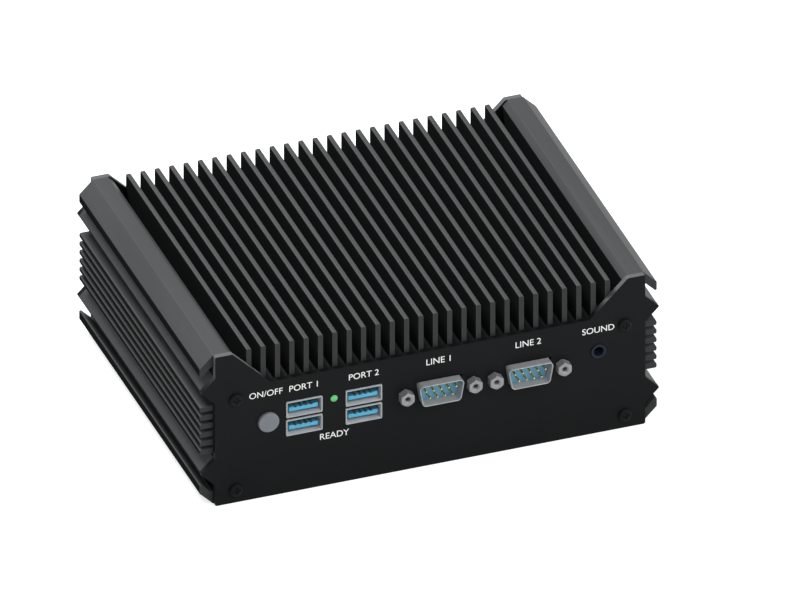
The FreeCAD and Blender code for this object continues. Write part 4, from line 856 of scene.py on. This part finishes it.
@dataclass
class HeatsinkExtrusion(SubAssembly):
    """The finned aluminium extrusion, with soft edges all along its section.

    A corner of the section is its X, its Z and the radius of its arc.
    """

    half_width: float = 79.1
    height: float = 60.5
    shoulder_width: float = 5.55
    shoulder_chamfer: float = 2.1
    lip_reach: float = 4.95
    lip_thickness: float = 4.0
    tooth_reach: float = 5.2
    tooth_offset: float = 16.5
    fin_count: int = 26
    fin_margin: float = 5.5
    fin_thickness: float = 1.8
    fin_drop: float = 0.4
    fin_root: float = 45.4
    rib_count: int = 6
    rib_pitch: float = 3.46
    rib_thickness: float = 1.9
    rib_reach: float = 4.9
    wall: float = 3.6
    ceiling: float = 42.4
    channel_side: float = 71.5
    channel_levels: Pair = (5.3, 42.0)
    channel_radius: float = 1.28
    channel_points: int = 40
    boss_radius: float = 3.4
    boss_flat: float = 1.36
    cover_edge: float = 74.0
    cover_thickness: float = 2.0
    ledge_edge: float = 63.0
    ledge_thickness: float = 4.5
    soft: float = 0.45
    tooth_soft: float = 0.54
    fin_soft: float = 0.4
    hollow: float = 0.6
    bend: float = 0.1
    crease: float = 25.0

    @staticmethod
    def repeated(one: Sequence[Sequence[float]], steps: Array, direction: Triple) -> Array:
        """Corners of one fin or rib, copied to each of several steps along a direction."""
        return (np.array(one) + np.multiply.outer(steps, direction)[:, None]).reshape(-1, 3)

    def fins(self) -> Array:
        """The right half's fins, from the middle outward.

        Returns:
            Their corners, one row each.
        """
        half_row = self.half_width - self.shoulder_width - self.shoulder_chamfer - self.fin_margin
        centres = np.linspace(-half_row, half_row, self.fin_count)
        half, top = self.fin_thickness / 2, self.height - self.fin_drop
        one = [(-half, self.fin_root, self.hollow), (-half, top, self.fin_soft),
               (half, top, self.fin_soft), (half, self.fin_root, self.hollow)]
        return self.repeated(one, centres[centres > 0], (1.0, 0.0, 0.0))

    def tooth(self, level: float) -> List[Triple]:
        """The corners of one pointed tooth on the right side, from top to bottom."""
        root, reach = self.half_width, self.tooth_reach
        return [(root, level + reach, self.soft), (root + reach, level, self.tooth_soft),
                (root, level - reach, self.soft)]

    def ribs(self) -> Array:
        """The right side's flat ribs, from top to bottom.

        Returns:
            Their corners, one row each.
        """
        levels = (np.arange(self.rib_count)[::-1] - (self.rib_count - 1) / 2) * self.rib_pitch
        half, root, tip = self.rib_thickness / 2, self.half_width, self.half_width + self.rib_reach
        one = [(root, half, self.fin_soft), (tip, half, self.hollow),
               (tip, -half, self.hollow), (root, -half, self.fin_soft)]
        return self.repeated(one, levels + self.height / 2, (0.0, 1.0, 0.0))

    def section(self) -> Array:
        """The whole closed section with its arcs, clockwise from the middle of its top.

        Returns:
            X and Z of its points, one row each.
        """
        side, top, lip = self.half_width, self.height, self.half_width + self.lip_reach
        valley, middle = side - self.shoulder_width - self.shoulder_chamfer, top / 2
        soft, bend, inside = self.soft, self.bend, side - self.wall
        cover, ledge = self.cover_thickness, self.cover_thickness + self.ledge_thickness
        upper = [(valley, self.fin_root, self.hollow), (valley, top - self.shoulder_chamfer, soft),
                 (side - self.shoulder_width, top, soft), (side, top, soft),
                 (lip, top - self.lip_reach, soft), (lip, top - self.lip_reach - self.lip_thickness, soft),
                 (side, top - self.lip_thickness, soft)]
        lower = [(side, self.lip_thickness, soft), (lip, self.lip_thickness + self.lip_reach, soft),
                 (lip, self.lip_reach, soft), (side, 0.0, soft),
                 (self.cover_edge, 0.0, bend), (self.cover_edge, cover, bend),
                 (self.ledge_edge, cover, bend), (self.ledge_edge, ledge, bend)]
        low, high = self.channel_levels
        near, far = self.channel_side - self.boss_radius, self.channel_side - self.boss_flat
        bosses = [(far, low + self.boss_radius, bend), (inside, low + self.boss_radius, bend),
                  (inside, high - self.boss_radius, bend), (far, high - self.boss_radius, bend),
                  (near, high - self.boss_flat, bend), (near, self.ceiling, bend)]
        right = np.concatenate([self.fins(), upper, self.tooth(middle + self.tooth_offset), self.ribs(),
                                self.tooth(middle - self.tooth_offset), lower, bosses])
        corners = np.concatenate([right, right[::-1] * (-1.0, 1.0, 1.0)])
        return softened(corners[:, :2], corners[:, 2])

    def channels(self) -> List[Array]:
        """The round outlines of the four screw channels: middle plus radius (cos, sin).

        Returns:
            X and Z of each channel's points, anticlockwise.
        """
        angles = ring(self.channel_points)
        circle = np.stack([np.cos(angles), np.sin(angles)], axis=-1) * self.channel_radius
        return [circle + (side * self.channel_side, level)
                for side in (-1, 1) for level in self.channel_levels]

    def build(self) -> None:
        """Carry every outline from the front plate to the rear plate and close both ends.

        A point of an outline is (x, y, z) at each end, with the end's own y. A wall's corners are a
        point and the next one at the front, and the same two at the rear. The walls look outward
        round the section, which runs clockwise, and inward round the channels.
        """
        cad = NodeBox.of("heatsink_chassis")
        outlines = [self.section()] + self.channels()
        flat = np.concatenate(outlines)
        total, start, after = len(flat), 0, []
        for outline in outlines:
            after.append(np.roll(np.arange(len(outline)), -1) + start)
            start += len(outline)
        here, after = np.arange(total), np.concatenate(after)
        walls = np.concatenate([np.stack([here, after, after + total], axis=1),
                                np.stack([here, after + total, here + total], axis=1)])
        corners = np.concatenate([np.insert(flat, 1, y, axis=1) for y in (cad.low.y, cad.high.y)]) * MM
        cap = np.array(tessellate_polygon([[Vector((x, z, 0.0)) for x, z in outline]
                                           for outline in outlines]))
        a, b, c = (corners[cap[:, i]] for i in range(3))
        cap = np.where(np.cross(b - a, c - a)[:, 1:2] < 0, cap, cap[:, ::-1])
        faces = np.concatenate([walls, cap, cap[:, ::-1] + total])
        self.add("finned_extrusion", (corners, faces.tolist()), "black_anodised_extrusion",
                 "black_anodised", "heatsink_chassis", crease=self.crease)


@dataclass
class PlateScrews(SubAssembly):
    """Pan head screws with a cross recess, four in each end plate."""

    radius: float = 2.4
    side: float = 0.7
    height: float = 1.5
    shank_radius: float = 1.25
    shank_length: float = 8.0
    arm: float = 1.2
    arm_half_width: float = 0.22
    recess_depth: float = 0.4
    recess_slope: float = 0.16
    fine_end: float = 1.44
    fine_rows: int = 26
    coarse_start: float = 1.56
    coarse_rows: int = 9
    points: int = 96
    turns: Tuple[float, ...] = (0.05, -0.08, 0.1, 0.0)
    crease: float = 40.0

    def head(self, turn: float) -> Array:
        """One screw: a domed head sunk by a cross, and its shank.

        The dome's height at the distance r is side + (height - side) sqrt(1 - (r/R)^2). The cross
        lowers it by its depth times a ramp that goes from 1 inside either arm to 0 at one slope's
        width outside it.

        Args:
            turn: angle by which the cross is turned.

        Returns:
            A grid in the face's coordinates.
        """
        radii = np.concatenate([np.linspace(0.0, self.fine_end, self.fine_rows),
                                np.linspace(self.coarse_start, self.radius, self.coarse_rows)])[:, None]
        crown = around(radii, 0.0, self.points)
        x, y = crown[..., 0], crown[..., 1]
        along, across = x * math.cos(turn) + y * math.sin(turn), y * math.cos(turn) - x * math.sin(turn)
        arms = [np.maximum(np.abs(first) - self.arm, np.abs(second) - self.arm_half_width)
                for first, second in ((along, across), (across, along))]
        dome = self.side + (self.height - self.side) * np.sqrt(1.0 - (radii / self.radius) ** 2)
        ramp = np.clip(1.0 - np.minimum(*arms) / self.recess_slope, 0.0, 1.0)
        crown[..., 2] = dome - self.recess_depth * ramp
        shank = turned([(self.radius, 0.0), (self.shank_radius, 0.0),
                        (self.shank_radius, -self.shank_length), (0.0, -self.shank_length)], self.points)
        return np.concatenate([crown, shank])

    def build(self) -> None:
        """Set the four screws of each plate, each turned a little differently."""
        for facing, node in ((Facing.FRONT, "front_plate_screws"), (Facing.REAR, "rear_plate_screws")):
            cad = NodeBox.of(node)
            across = facing.value[0][0] * (cad.size.x / 2 - self.radius)
            up = cad.size.z / 2 - self.radius
            places = [(x, z, 0.0) for x in (-across, across) for z in (-up, up)]
            heads = [self.head(turn) + place for place, turn in zip(places, self.turns)]
            mesh = merged(heads, cad.seat(self.height, facing), facing)
            self.add(f"pan_heads_{facing.name.lower()}", mesh, "black_screw_coat", "black_screws", node,
                     crease=self.crease)


@dataclass
class PowerButton(SubAssembly):
    """Round cap with a softly rounded rim, its collar and stem; it rides the moving body."""

    radius: float = 3.8
    proud: float = 1.0
    rim: float = 0.45
    rim_points: int = 7
    dish: float = 0.12
    dish_points: int = 8
    collar_radius: float = 4.6
    collar_front: float = 2.3
    collar_back: float = 3.3
    stem_radius: float = 1.5
    stem_end: float = 10.0
    points: int = 96

    def profile(self) -> List[Pair]:
        """Follow the cap's faint dish, rim, collar and stem.

        Returns:
            Radius and outward distance of each point.
        """
        edge = self.radius - self.rim
        dish = [(edge * t, self.proud - self.dish * (1.0 - t * t))
                for t in np.linspace(0.0, 1.0, self.dish_points)]
        rim = quarter(self.rim, (edge, self.proud - self.rim), 90.0, 0.0, self.rim_points)
        return dish + rim + [
            (self.radius, -self.collar_front), (self.collar_radius, -self.collar_front),
            (self.collar_radius, -self.collar_back), (self.stem_radius, -self.collar_back),
            (self.stem_radius, -self.stem_end), (0.0, -self.stem_end)]

    def build(self) -> None:
        """Turn the button on its own axis and seat it in its hole."""
        cap = merged([turned(self.profile(), self.points)], NodeBox.of("power_button").seat(self.proud))
        self.add("button_cap", cap, "grey_button_plastic", "grey_button", "power_button", body=BUTTON)


@dataclass
class StatusLight(SubAssembly):
    """Green lamp with a low domed lens."""

    proud: float = 0.3
    rim: float = 0.05
    dome_points: int = 10
    points: int = 64

    def build(self) -> None:
        """Turn the lens and seat it; its dome's height is proud cos(a) - rim sin(a) at R sin(a)."""
        cad = NodeBox.of("status_light")
        radius, length = cad.size.x / 2, cad.size.y - self.proud
        dome = [(radius * math.sin(a), self.proud * math.cos(a) - self.rim * math.sin(a))
                for a in np.linspace(0.0, math.pi / 2, self.dome_points)]
        lens = turned(dome + [(radius, -length), (0.0, -length)], self.points)
        self.add("lamp_lens", merged([lens], cad.seat(self.proud)), "green_lamp_lens", "green_lens",
                 "status_light")


@dataclass
class SoundSocket(SubAssembly):
    """Round dark sound socket: a rounded ring, a grooved bore and the barrel behind the plate."""

    radius: float = 2.8
    rim: float = 0.3
    bore: float = 1.8
    lead: float = 0.25
    proud: float = 0.5
    bore_depth: float = 11.5
    groove_front: float = 2.0
    groove_back: float = 2.8
    groove_depth: float = 0.15
    groove_slope: float = 0.1
    barrel: float = 3.9
    barrel_front: float = 2.3
    depth: float = 14.3
    level: float = 33.2
    points: int = 72
    saddle_base: float = 2.6
    saddle_front: float = 2.4
    saddle_bevel: float = 0.2
    spring: Tuple[Pair, ...] = ((-1.72, -10.5), (-1.7, -7.0), (-1.2, -5.2), (-1.45, -4.0))
    spring_width: float = 1.0
    spring_thickness: float = 0.2

    def profile(self) -> List[Pair]:
        """Follow the bore from its floor, the ring and the barrel to its back.

        Returns:
            Radius and outward distance of each point.
        """
        lead = quarter(self.lead, (self.bore + self.lead, self.proud - self.lead), 180.0, 90.0, 5)
        rim = quarter(self.rim, (self.radius - self.rim, self.proud - self.rim), 90.0, 0.0)
        deep = self.bore + self.groove_depth
        groove = [(self.bore, -self.groove_back), (deep, self.groove_slope - self.groove_back),
                  (deep, -self.groove_front - self.groove_slope), (self.bore, -self.groove_front)]
        return ([(0.0, -self.bore_depth), (self.bore, -self.bore_depth)] + groove + lead + rim
                + [(self.radius, -self.barrel_front), (self.barrel, -self.barrel_front),
                   (self.barrel, -self.depth), (0.0, -self.depth)])

    def build(self) -> None:
        """Turn the socket, flat at the top, and add its saddle on the board and its spring."""
        cad = NodeBox.of("sound_socket")
        place, top = cad.seat(self.proud), cad.high.z - self.level
        place.z = self.level
        body = turned(self.profile(), self.points)
        body[..., 1] = np.minimum(body[..., 1], top)
        saddle = block((-self.barrel, self.saddle_base, -self.depth),
                       (self.barrel, top, -self.saddle_front), self.saddle_bevel)
        spring = ribbon(np.array(self.spring), self.spring_width, self.spring_thickness, 0.0)
        self.add("sound_ring", merged([body, saddle], place), "navy_socket_plastic", "navy_plastic",
                 "sound_socket")
        self.add("sound_contact", merged([spring], place), "gold_flash", "gold_contacts")


@dataclass
class UsbStack(SubAssembly):
    """Tongues with their spring contacts in one stack of two sockets."""

    side: str
    facing: Facing = Facing.FRONT
    half_width: float = 6.65
    wall: float = 0.4
    proud: float = 0.4
    port_height: float = 6.3
    web: float = 1.05
    back: float = 9.6
    back_wall: float = 0.8
    back_bevel: float = 0.02
    clearance: float = 0.01
    tongue_half_width: float = 5.4
    tongue_level: float = 1.7
    tongue_thickness: float = 1.6
    recess: float = 0.6
    bevel: float = 0.22
    ridge_height: float = 0.3
    ridge_root: float = 0.4
    ridge_recess: float = 0.62
    ridge_gap: float = 0.1
    contact_count: int = 4
    contact_pitch: float = 1.95
    contact_width: float = 0.8
    contact_thickness: float = 0.16
    spring: Tuple[Pair, ...] = ((-0.3, -0.35), (-0.1, -0.8), (0.02, -1.5), (-0.1, -3.0))
    spring_end: float = 0.2

    def tongues(self, low: float) -> List[Array]:
        """The tongue, the wall it springs from and low ridges between the contacts.

        Args:
            low: up distance of the port's lower edge.

        Returns:
            Closed grids in the face's coordinates.
        """
        base = low + self.tongue_level
        top = base + self.tongue_thickness
        edge, inside = self.tongue_half_width, self.half_width - self.wall - self.clearance
        shapes = [
            block((-edge, base, self.ridge_height - self.back),
                  (edge, top - self.ridge_height, -self.recess), self.bevel),
            block((-inside, low + self.wall, -self.back),
                  (inside, low + self.port_height - self.wall, self.back_wall - self.back), self.back_bevel)]
        gaps = (np.arange(self.contact_count + 1) - self.contact_count / 2) * self.contact_pitch
        half = (self.contact_pitch - self.contact_width - self.ridge_gap) / 2
        lefts, rights = gaps - half, gaps + half
        lefts[0], rights[-1] = -edge, edge
        return shapes + [block((left, top - self.ridge_root, self.ridge_root - self.back),
                               (right, top, -self.ridge_recess), self.bevel)
                         for left, right in zip(lefts, rights)]

    def springs(self, low: float) -> List[Array]:
        """The springs in the tongue's grooves, each rising to a low crest behind the front edge.

        Args:
            low: up distance of the port's lower edge.

        Returns:
            Closed grids in the face's coordinates.
        """
        top = low + self.tongue_level + self.tongue_thickness
        path = np.array(self.spring) + (top, -self.recess)
        end = (top - self.contact_thickness, self.back_wall + self.spring_end - self.back)
        places = (np.arange(self.contact_count) - (self.contact_count - 1) / 2) * self.contact_pitch
        return [ribbon(np.vstack([path, end]), self.contact_width, self.contact_thickness, place)
                for place in places]

    def build(self) -> None:
        """Make both ports' tongues one piece and all their springs another."""
        shell = NodeBox.of(f"usb_shell_{self.side}")
        place = shell.seat(self.proud, self.facing)
        place.z = shell.low.z
        for name, shapes, finish, slot, node in (
                ("tongues", self.tongues, "blue_tongue_plastic", "blue_plastic", "insulator"),
                # The springs' dark brass is painted shade.
                ("springs", self.springs, "shaded_spring_brass", "gold_contacts", "contacts")):
            grids = [grid for low in (0.0, self.port_height + self.web) for grid in shapes(low)]
            self.add(f"usb_{name}_{self.side}", merged(grids, place, self.facing), finish, slot,
                     f"usb_{node}_{self.side}")


@dataclass
class SerialSocket(SubAssembly):
    """Nine-pin socket: drawn steel shell, round pins and hexagonal jackscrews with threaded bores."""

    side: str
    half_width: float = 8.46
    half_height: float = 4.18
    slant: float = 10.0
    corner: float = 1.6
    corner_points: int = 8
    wall: float = 0.4
    proud: float = 3.3
    roll_points: int = 9
    flange_half_width: float = 15.4
    flange_half_height: float = 6.2
    flange_corner: float = 1.5
    flange_front: float = 2.0
    flange_back: float = 3.0
    pin_radius: float = 0.35
    pin_base: float = 0.8
    pin_length: float = 3.5
    pin_pitch: float = 2.77
    pin_points: int = 20
    row_gap: float = 2.84
    screw_spacing: float = 24.99
    screw_flats: float = 4.76
    screw_height: float = 3.2
    screw_points: int = 72
    bore: float = 1.1
    bore_depth: float = 1.3
    mouth: float = 0.28
    mouth_depth: float = 0.35
    thread_pitch: float = 0.635
    thread_depth: float = 0.16
    thread_rows: int = 41
    chamfer_play: float = 0.02
    chamfer_drops: Pair = (0.04, 0.24)
    chamfer_rows: int = 6
    chamfer_slope: float = 1.7
    foot: float = 0.05
    stud: float = 1.42
    stud_end: float = 7.0

    def outline(self, growth: float) -> Array:
        """The D with its wide side up and round corners.

        Args:
            growth: distance by which it is grown all round.

        Returns:
            Right and up distances of its points, one row each.
        """
        wide, high = self.half_width, self.half_height
        narrow = wide - 2.0 * high * math.tan(math.radians(self.slant))
        corners = np.array([(wide, high), (-wide, high), (-narrow, -high), (narrow, -high)])
        return softened(corners, self.corner, self.corner_points, growth)

    def shell(self) -> Array:
        """The tube's outside, its rolled lip and its inside, then the flange round its back.

        Returns:
            A grid in the face's coordinates.
        """
        lip, front, back = self.wall / 2, -self.flange_front, -self.flange_back
        wide, high = self.flange_half_width, self.flange_half_height
        corners = np.array([(wide, high), (-wide, high), (-wide, -high), (wide, -high)])
        flange = softened(corners, self.flange_corner, self.corner_points)
        roll = [(self.outline(lip * math.cos(a) - lip), self.proud - lip + lip * math.sin(a))
                for a in np.linspace(0.0, math.pi, self.roll_points)]
        tube = self.outline(0.0)
        return stacked([(tube, front)] + roll + [(self.outline(-self.wall), back), (flange, back),
                                                 (flange, front), (tube, front)])

    def pins(self) -> List[Array]:
        """Nine pins with domed ends, five above four.

        Returns:
            Closed grids in the face's coordinates.
        """
        radius, tip = self.pin_radius, self.pin_length - self.pin_base
        dome = quarter(radius, (0.0, tip - radius), 90.0, 0.0)
        one = turned(dome + [(radius, -self.pin_base), (0.0, -self.pin_base)], self.pin_points)
        return [one + np.array(((number - (count - 1) / 2) * self.pin_pitch, level, 0.0))
                for count, level in ((5, self.row_gap / 2), (4, -self.row_gap / 2))
                for number in range(count)]

    def jackscrew(self, offset: float) -> Array:
        """One hexagonal screw: threaded bore, chamfered hexagon and stud.

        The hexagon's radius at the angle a is half of its flats over cos(b), where b is a taken to
        between -30 and 30 degrees. A row has that radius, or the chamfer's cone where it is smaller.
        In the bore it is bore - depth |sin|, with a crest in each pitch.

        Args:
            offset: right distance of its axis.

        Returns:
            A grid in the face's coordinates.
        """
        sector, top, foot, stud = math.pi / 3.0, self.screw_height, self.foot, self.stud
        half, angles = self.screw_flats / 2, ring(self.screw_points)
        hexagon = half / np.cos((angles + sector / 2.0) % sector - sector / 2.0)
        depths = np.linspace(-self.bore_depth, top - self.mouth_depth, self.thread_rows)
        thread = self.bore - self.thread_depth * np.abs(np.sin(math.pi * depths / self.thread_pitch))
        cone = half + self.chamfer_play
        rows = [(0.0, -self.bore_depth), *zip(thread, depths), (self.bore + self.mouth, top), (cone, top)]
        rows += [(np.minimum(hexagon, cone + drop * self.chamfer_slope), top - drop)
                 for drop in np.linspace(*self.chamfer_drops, self.chamfer_rows)]
        rows += [(hexagon, foot), (hexagon - foot, 0.0), (stud, 0.0),
                 (stud, -self.stud_end), (0.0, -self.stud_end)]
        radii = np.array([np.broadcast_to(radius, len(angles)) for radius, _ in rows])
        levels = np.array([[level] for _, level in rows])
        return around(radii, levels, len(angles)) + np.array((offset, 0.0, 0.0))

    def build(self) -> None:
        """Make the shell, the pins and the pair of screws."""
        place = NodeBox.of(f"serial_jackscrews_{self.side}").seat(self.screw_height)
        screws = [self.jackscrew(sign * self.screw_spacing / 2) for sign in (-1, 1)]
        for name, grids, finish, slot in (
                ("shell", [self.shell()], "drawn_shell_steel", "socket_steel"),
                ("pins", self.pins(), "gold_flash", "gold_contacts"),
                ("jackscrews", screws, "nickel_plate", "plated_steel")):
            self.add(f"line_{name}_{self.side}", merged(grids, place), finish, slot,
                     f"serial_{name}_{self.side}")


@dataclass
class NetworkLamps(SubAssembly):
    """Two small lamp windows in the face of each network socket."""

    half_width: float = 0.9
    height: float = 1.8
    depth: float = 1.0
    inset: float = 1.2
    proud: float = 0.05
    bevel: float = 0.03

    def build(self) -> None:
        """Set a green and an amber window under the top corners of each socket."""
        for side in ("left", "right"):
            cad = NodeBox.of(f"lan_socket_{side}")
            place = cad.seat(0.0, Facing.REAR)
            place.z = cad.high.z - self.inset
            for name, sign in (("green", -1), ("amber", 1)):
                middle = sign * (cad.size.x / 2 - self.inset - self.half_width)
                shape = block((middle - self.half_width, -self.height, -self.depth),
                              (middle + self.half_width, 0.0, self.proud), self.bevel)
                self.add(f"network_lamp_{name}_{side}", merged([shape], place, Facing.REAR),
                         f"{name}_lamp_lens", "green_lens")


@dataclass(frozen=True)
class Legend:
    """A printed word, the node it names, its baseline over the sockets' top, and a side shift."""

    text: str
    node: str
    rise: float = 4.0
    shift: float = 0.0


@dataclass
class FrontLettering(SubAssembly):
    """Plain words printed over the sockets, in capitals of one height."""

    cap_height: float = 2.4
    stand_off: float = 0.015
    legends: Tuple[Legend, ...] = (
        Legend("ON/OFF", "power_button", shift=-0.9),
        Legend("PORT 1", "usb_shell_left"),
        Legend("PORT 2", "usb_shell_right"),
        Legend("LINE 1", "serial_shell_left"),
        Legend("LINE 2", "serial_shell_right"),
        Legend("SOUND", "sound_socket"),
        Legend("READY", "status_light", rise=-18.0))

    def outline(self, text: str) -> Tuple[Array, List[List[int]]]:
        """Draw a word flat, its baseline's middle at zero and its capitals at their height.

        Args:
            text: the word.

        Returns:
            Points with right, up and outward distances, and the faces between them.
        """
        curve = bpy.data.curves.new(f"word_{text}", "FONT")
        curve.body = text
        curve.align_x = "CENTER"
        drawn = link_object(curve.name, curve)
        mesh = bpy.data.meshes.new_from_object(drawn)
        points = np.zeros(len(mesh.vertices) * 3)
        mesh.vertices.foreach_get("co", points)
        faces = [list(face.vertices) for face in mesh.polygons]
        bpy.data.objects.remove(drawn)
        bpy.data.meshes.remove(mesh)
        flat = points.reshape(-1, 3)
        flat *= self.cap_height / np.ptp(flat[:, 1])
        flat[:, 2] = self.stand_off
        return flat, faces

    def build(self) -> None:
        """Print every word on the front plate."""
        face = NodeBox.of("front_plate").low.y
        sockets_top = NodeBox.of("usb_shell_left").high.z
        for legend in self.legends:
            middle = NodeBox.of(legend.node).centre.x + legend.shift
            flat, faces = self.outline(legend.text)
            points = Facing.FRONT.place(flat, (middle, face, sockets_top + legend.rise))
            self.add("print_" + legend.node, (points, faces), "white_ink", "black_plate", crease=None)


# ---------------------------------------------------------------- studio

@dataclass(frozen=True)
class Lamp:
    """A square soft lamp that faces the computer: its middle and side in metres, its light in watts."""

    name: str
    place: Triple
    size: float
    power: float

    def hang(self) -> None:
        """Put the lamp into the scene."""
        data = bpy.data.lights.new(self.name, "AREA")
        data.size, data.energy = self.size, self.power
        aim(link_object(self.name, data), Vector(self.place), Vector(self.place))


def aim(thing: bpy.types.Object, place: Vector, back: Vector) -> None:
    """Move a lamp or a camera to its place and turn its back in a direction.

    Args:
        thing: the lamp or camera.
        place: where it goes.
        back: the direction opposite to the one that it looks in.
    """
    thing.location = place
    thing.rotation_mode = "QUATERNION"
    thing.rotation_quaternion = (-back).to_track_quat("-Z", "Y")


@dataclass
class Studio:
    """Pale paper, soft lamps and the camera."""

    azimuth: float = -20.0
    elevation: float = 32.0
    view_width: float = 276.4 * MM
    target: Triple = (0.52 * MM, -30.01 * MM, 48.32 * MM)
    distance: float = 1.2
    world_strength: float = 0.4
    paper_size: float = 8.0
    paper_drop: float = 0.05 * MM
    lamps: Tuple[Lamp, ...] = (Lamp("overhead_lamp", (-0.38, 0.72, 1.2), 0.6, 28.0),
                               Lamp("front_right_lamp", (1.1, -0.9, 0.6), 0.8, 6.0),
                               Lamp("front_lamp", (0.2, -0.9, 1.0), 0.8, 8.0))

    def lay_paper(self) -> None:
        """Lay a large sheet under the computer."""
        half, level = self.paper_size / 2, -self.paper_drop
        corners = [(-half, -half, level), (half, -half, level), (half, half, level), (-half, half, level)]
        floor = link_mesh("studio_floor", (np.array(corners), [[0, 1, 2, 3]]))
        floor.data.materials.append(StudioPaper().make())

    def light(self) -> None:
        """Hang the lamps in even surroundings, which the camera alone sees as plain white."""
        world = bpy.data.worlds.new("studio_world")
        world.use_nodes = True
        tree = world.node_tree
        even = tree.nodes["Background"]
        feed(even, {"Color": WHITE, "Strength": self.world_strength})
        white = add_node(tree, "Background", {"Color": WHITE, "Strength": 1.0})
        seen = add_node(tree, "LightPath").outputs["Is Camera Ray"]
        choice = add_node(tree, "MixShader", {0: seen, 1: even.outputs["Background"],
                                              2: white.outputs["Background"]})
        feed(tree.nodes["World Output"], {"Surface": choice.outputs["Shader"]})
        bpy.context.scene.world = world
        for lamp in self.lamps:
            lamp.hang()

    def set_camera(self) -> None:
        """Look down on the front from the left, with parallel sight lines."""
        turn, tilt = math.radians(self.azimuth), math.radians(self.elevation)
        back = Vector((math.sin(turn) * math.cos(tilt), -math.cos(turn) * math.cos(tilt), math.sin(tilt)))
        data = bpy.data.cameras.new("studio_camera")
        data.type = "ORTHO"
        data.ortho_scale = self.view_width
        camera = link_object("studio_camera", data)
        aim(camera, Vector(self.target) + back * self.distance, back)
        bpy.context.scene.camera = camera
        bpy.context.scene.view_settings.view_transform = "Standard"

    def build(self) -> None:
        """Set up camera, light and paper."""
        self.set_camera()
        self.light()
        self.lay_paper()


def main() -> None:
    """Build the studio and every sub-assembly in order."""
    logging.basicConfig(level=logging.INFO, format="%(name)s: %(message)s")
    Studio().build()
    finishes = make_finishes()
    assemblies = (
        KeptNodes(finishes), HeatsinkExtrusion(finishes), PlateScrews(finishes), PowerButton(finishes),
        StatusLight(finishes), SoundSocket(finishes), UsbStack(finishes, "left"),
        UsbStack(finishes, "right"), UsbStack(finishes, "rear", Facing.REAR),
        SerialSocket(finishes, "left"), SerialSocket(finishes, "right"), NetworkLamps(finishes),
        FrontLettering(finishes))
    for assembly in assemblies:
        assembly.build()


if __name__ == "__main__":
    main()
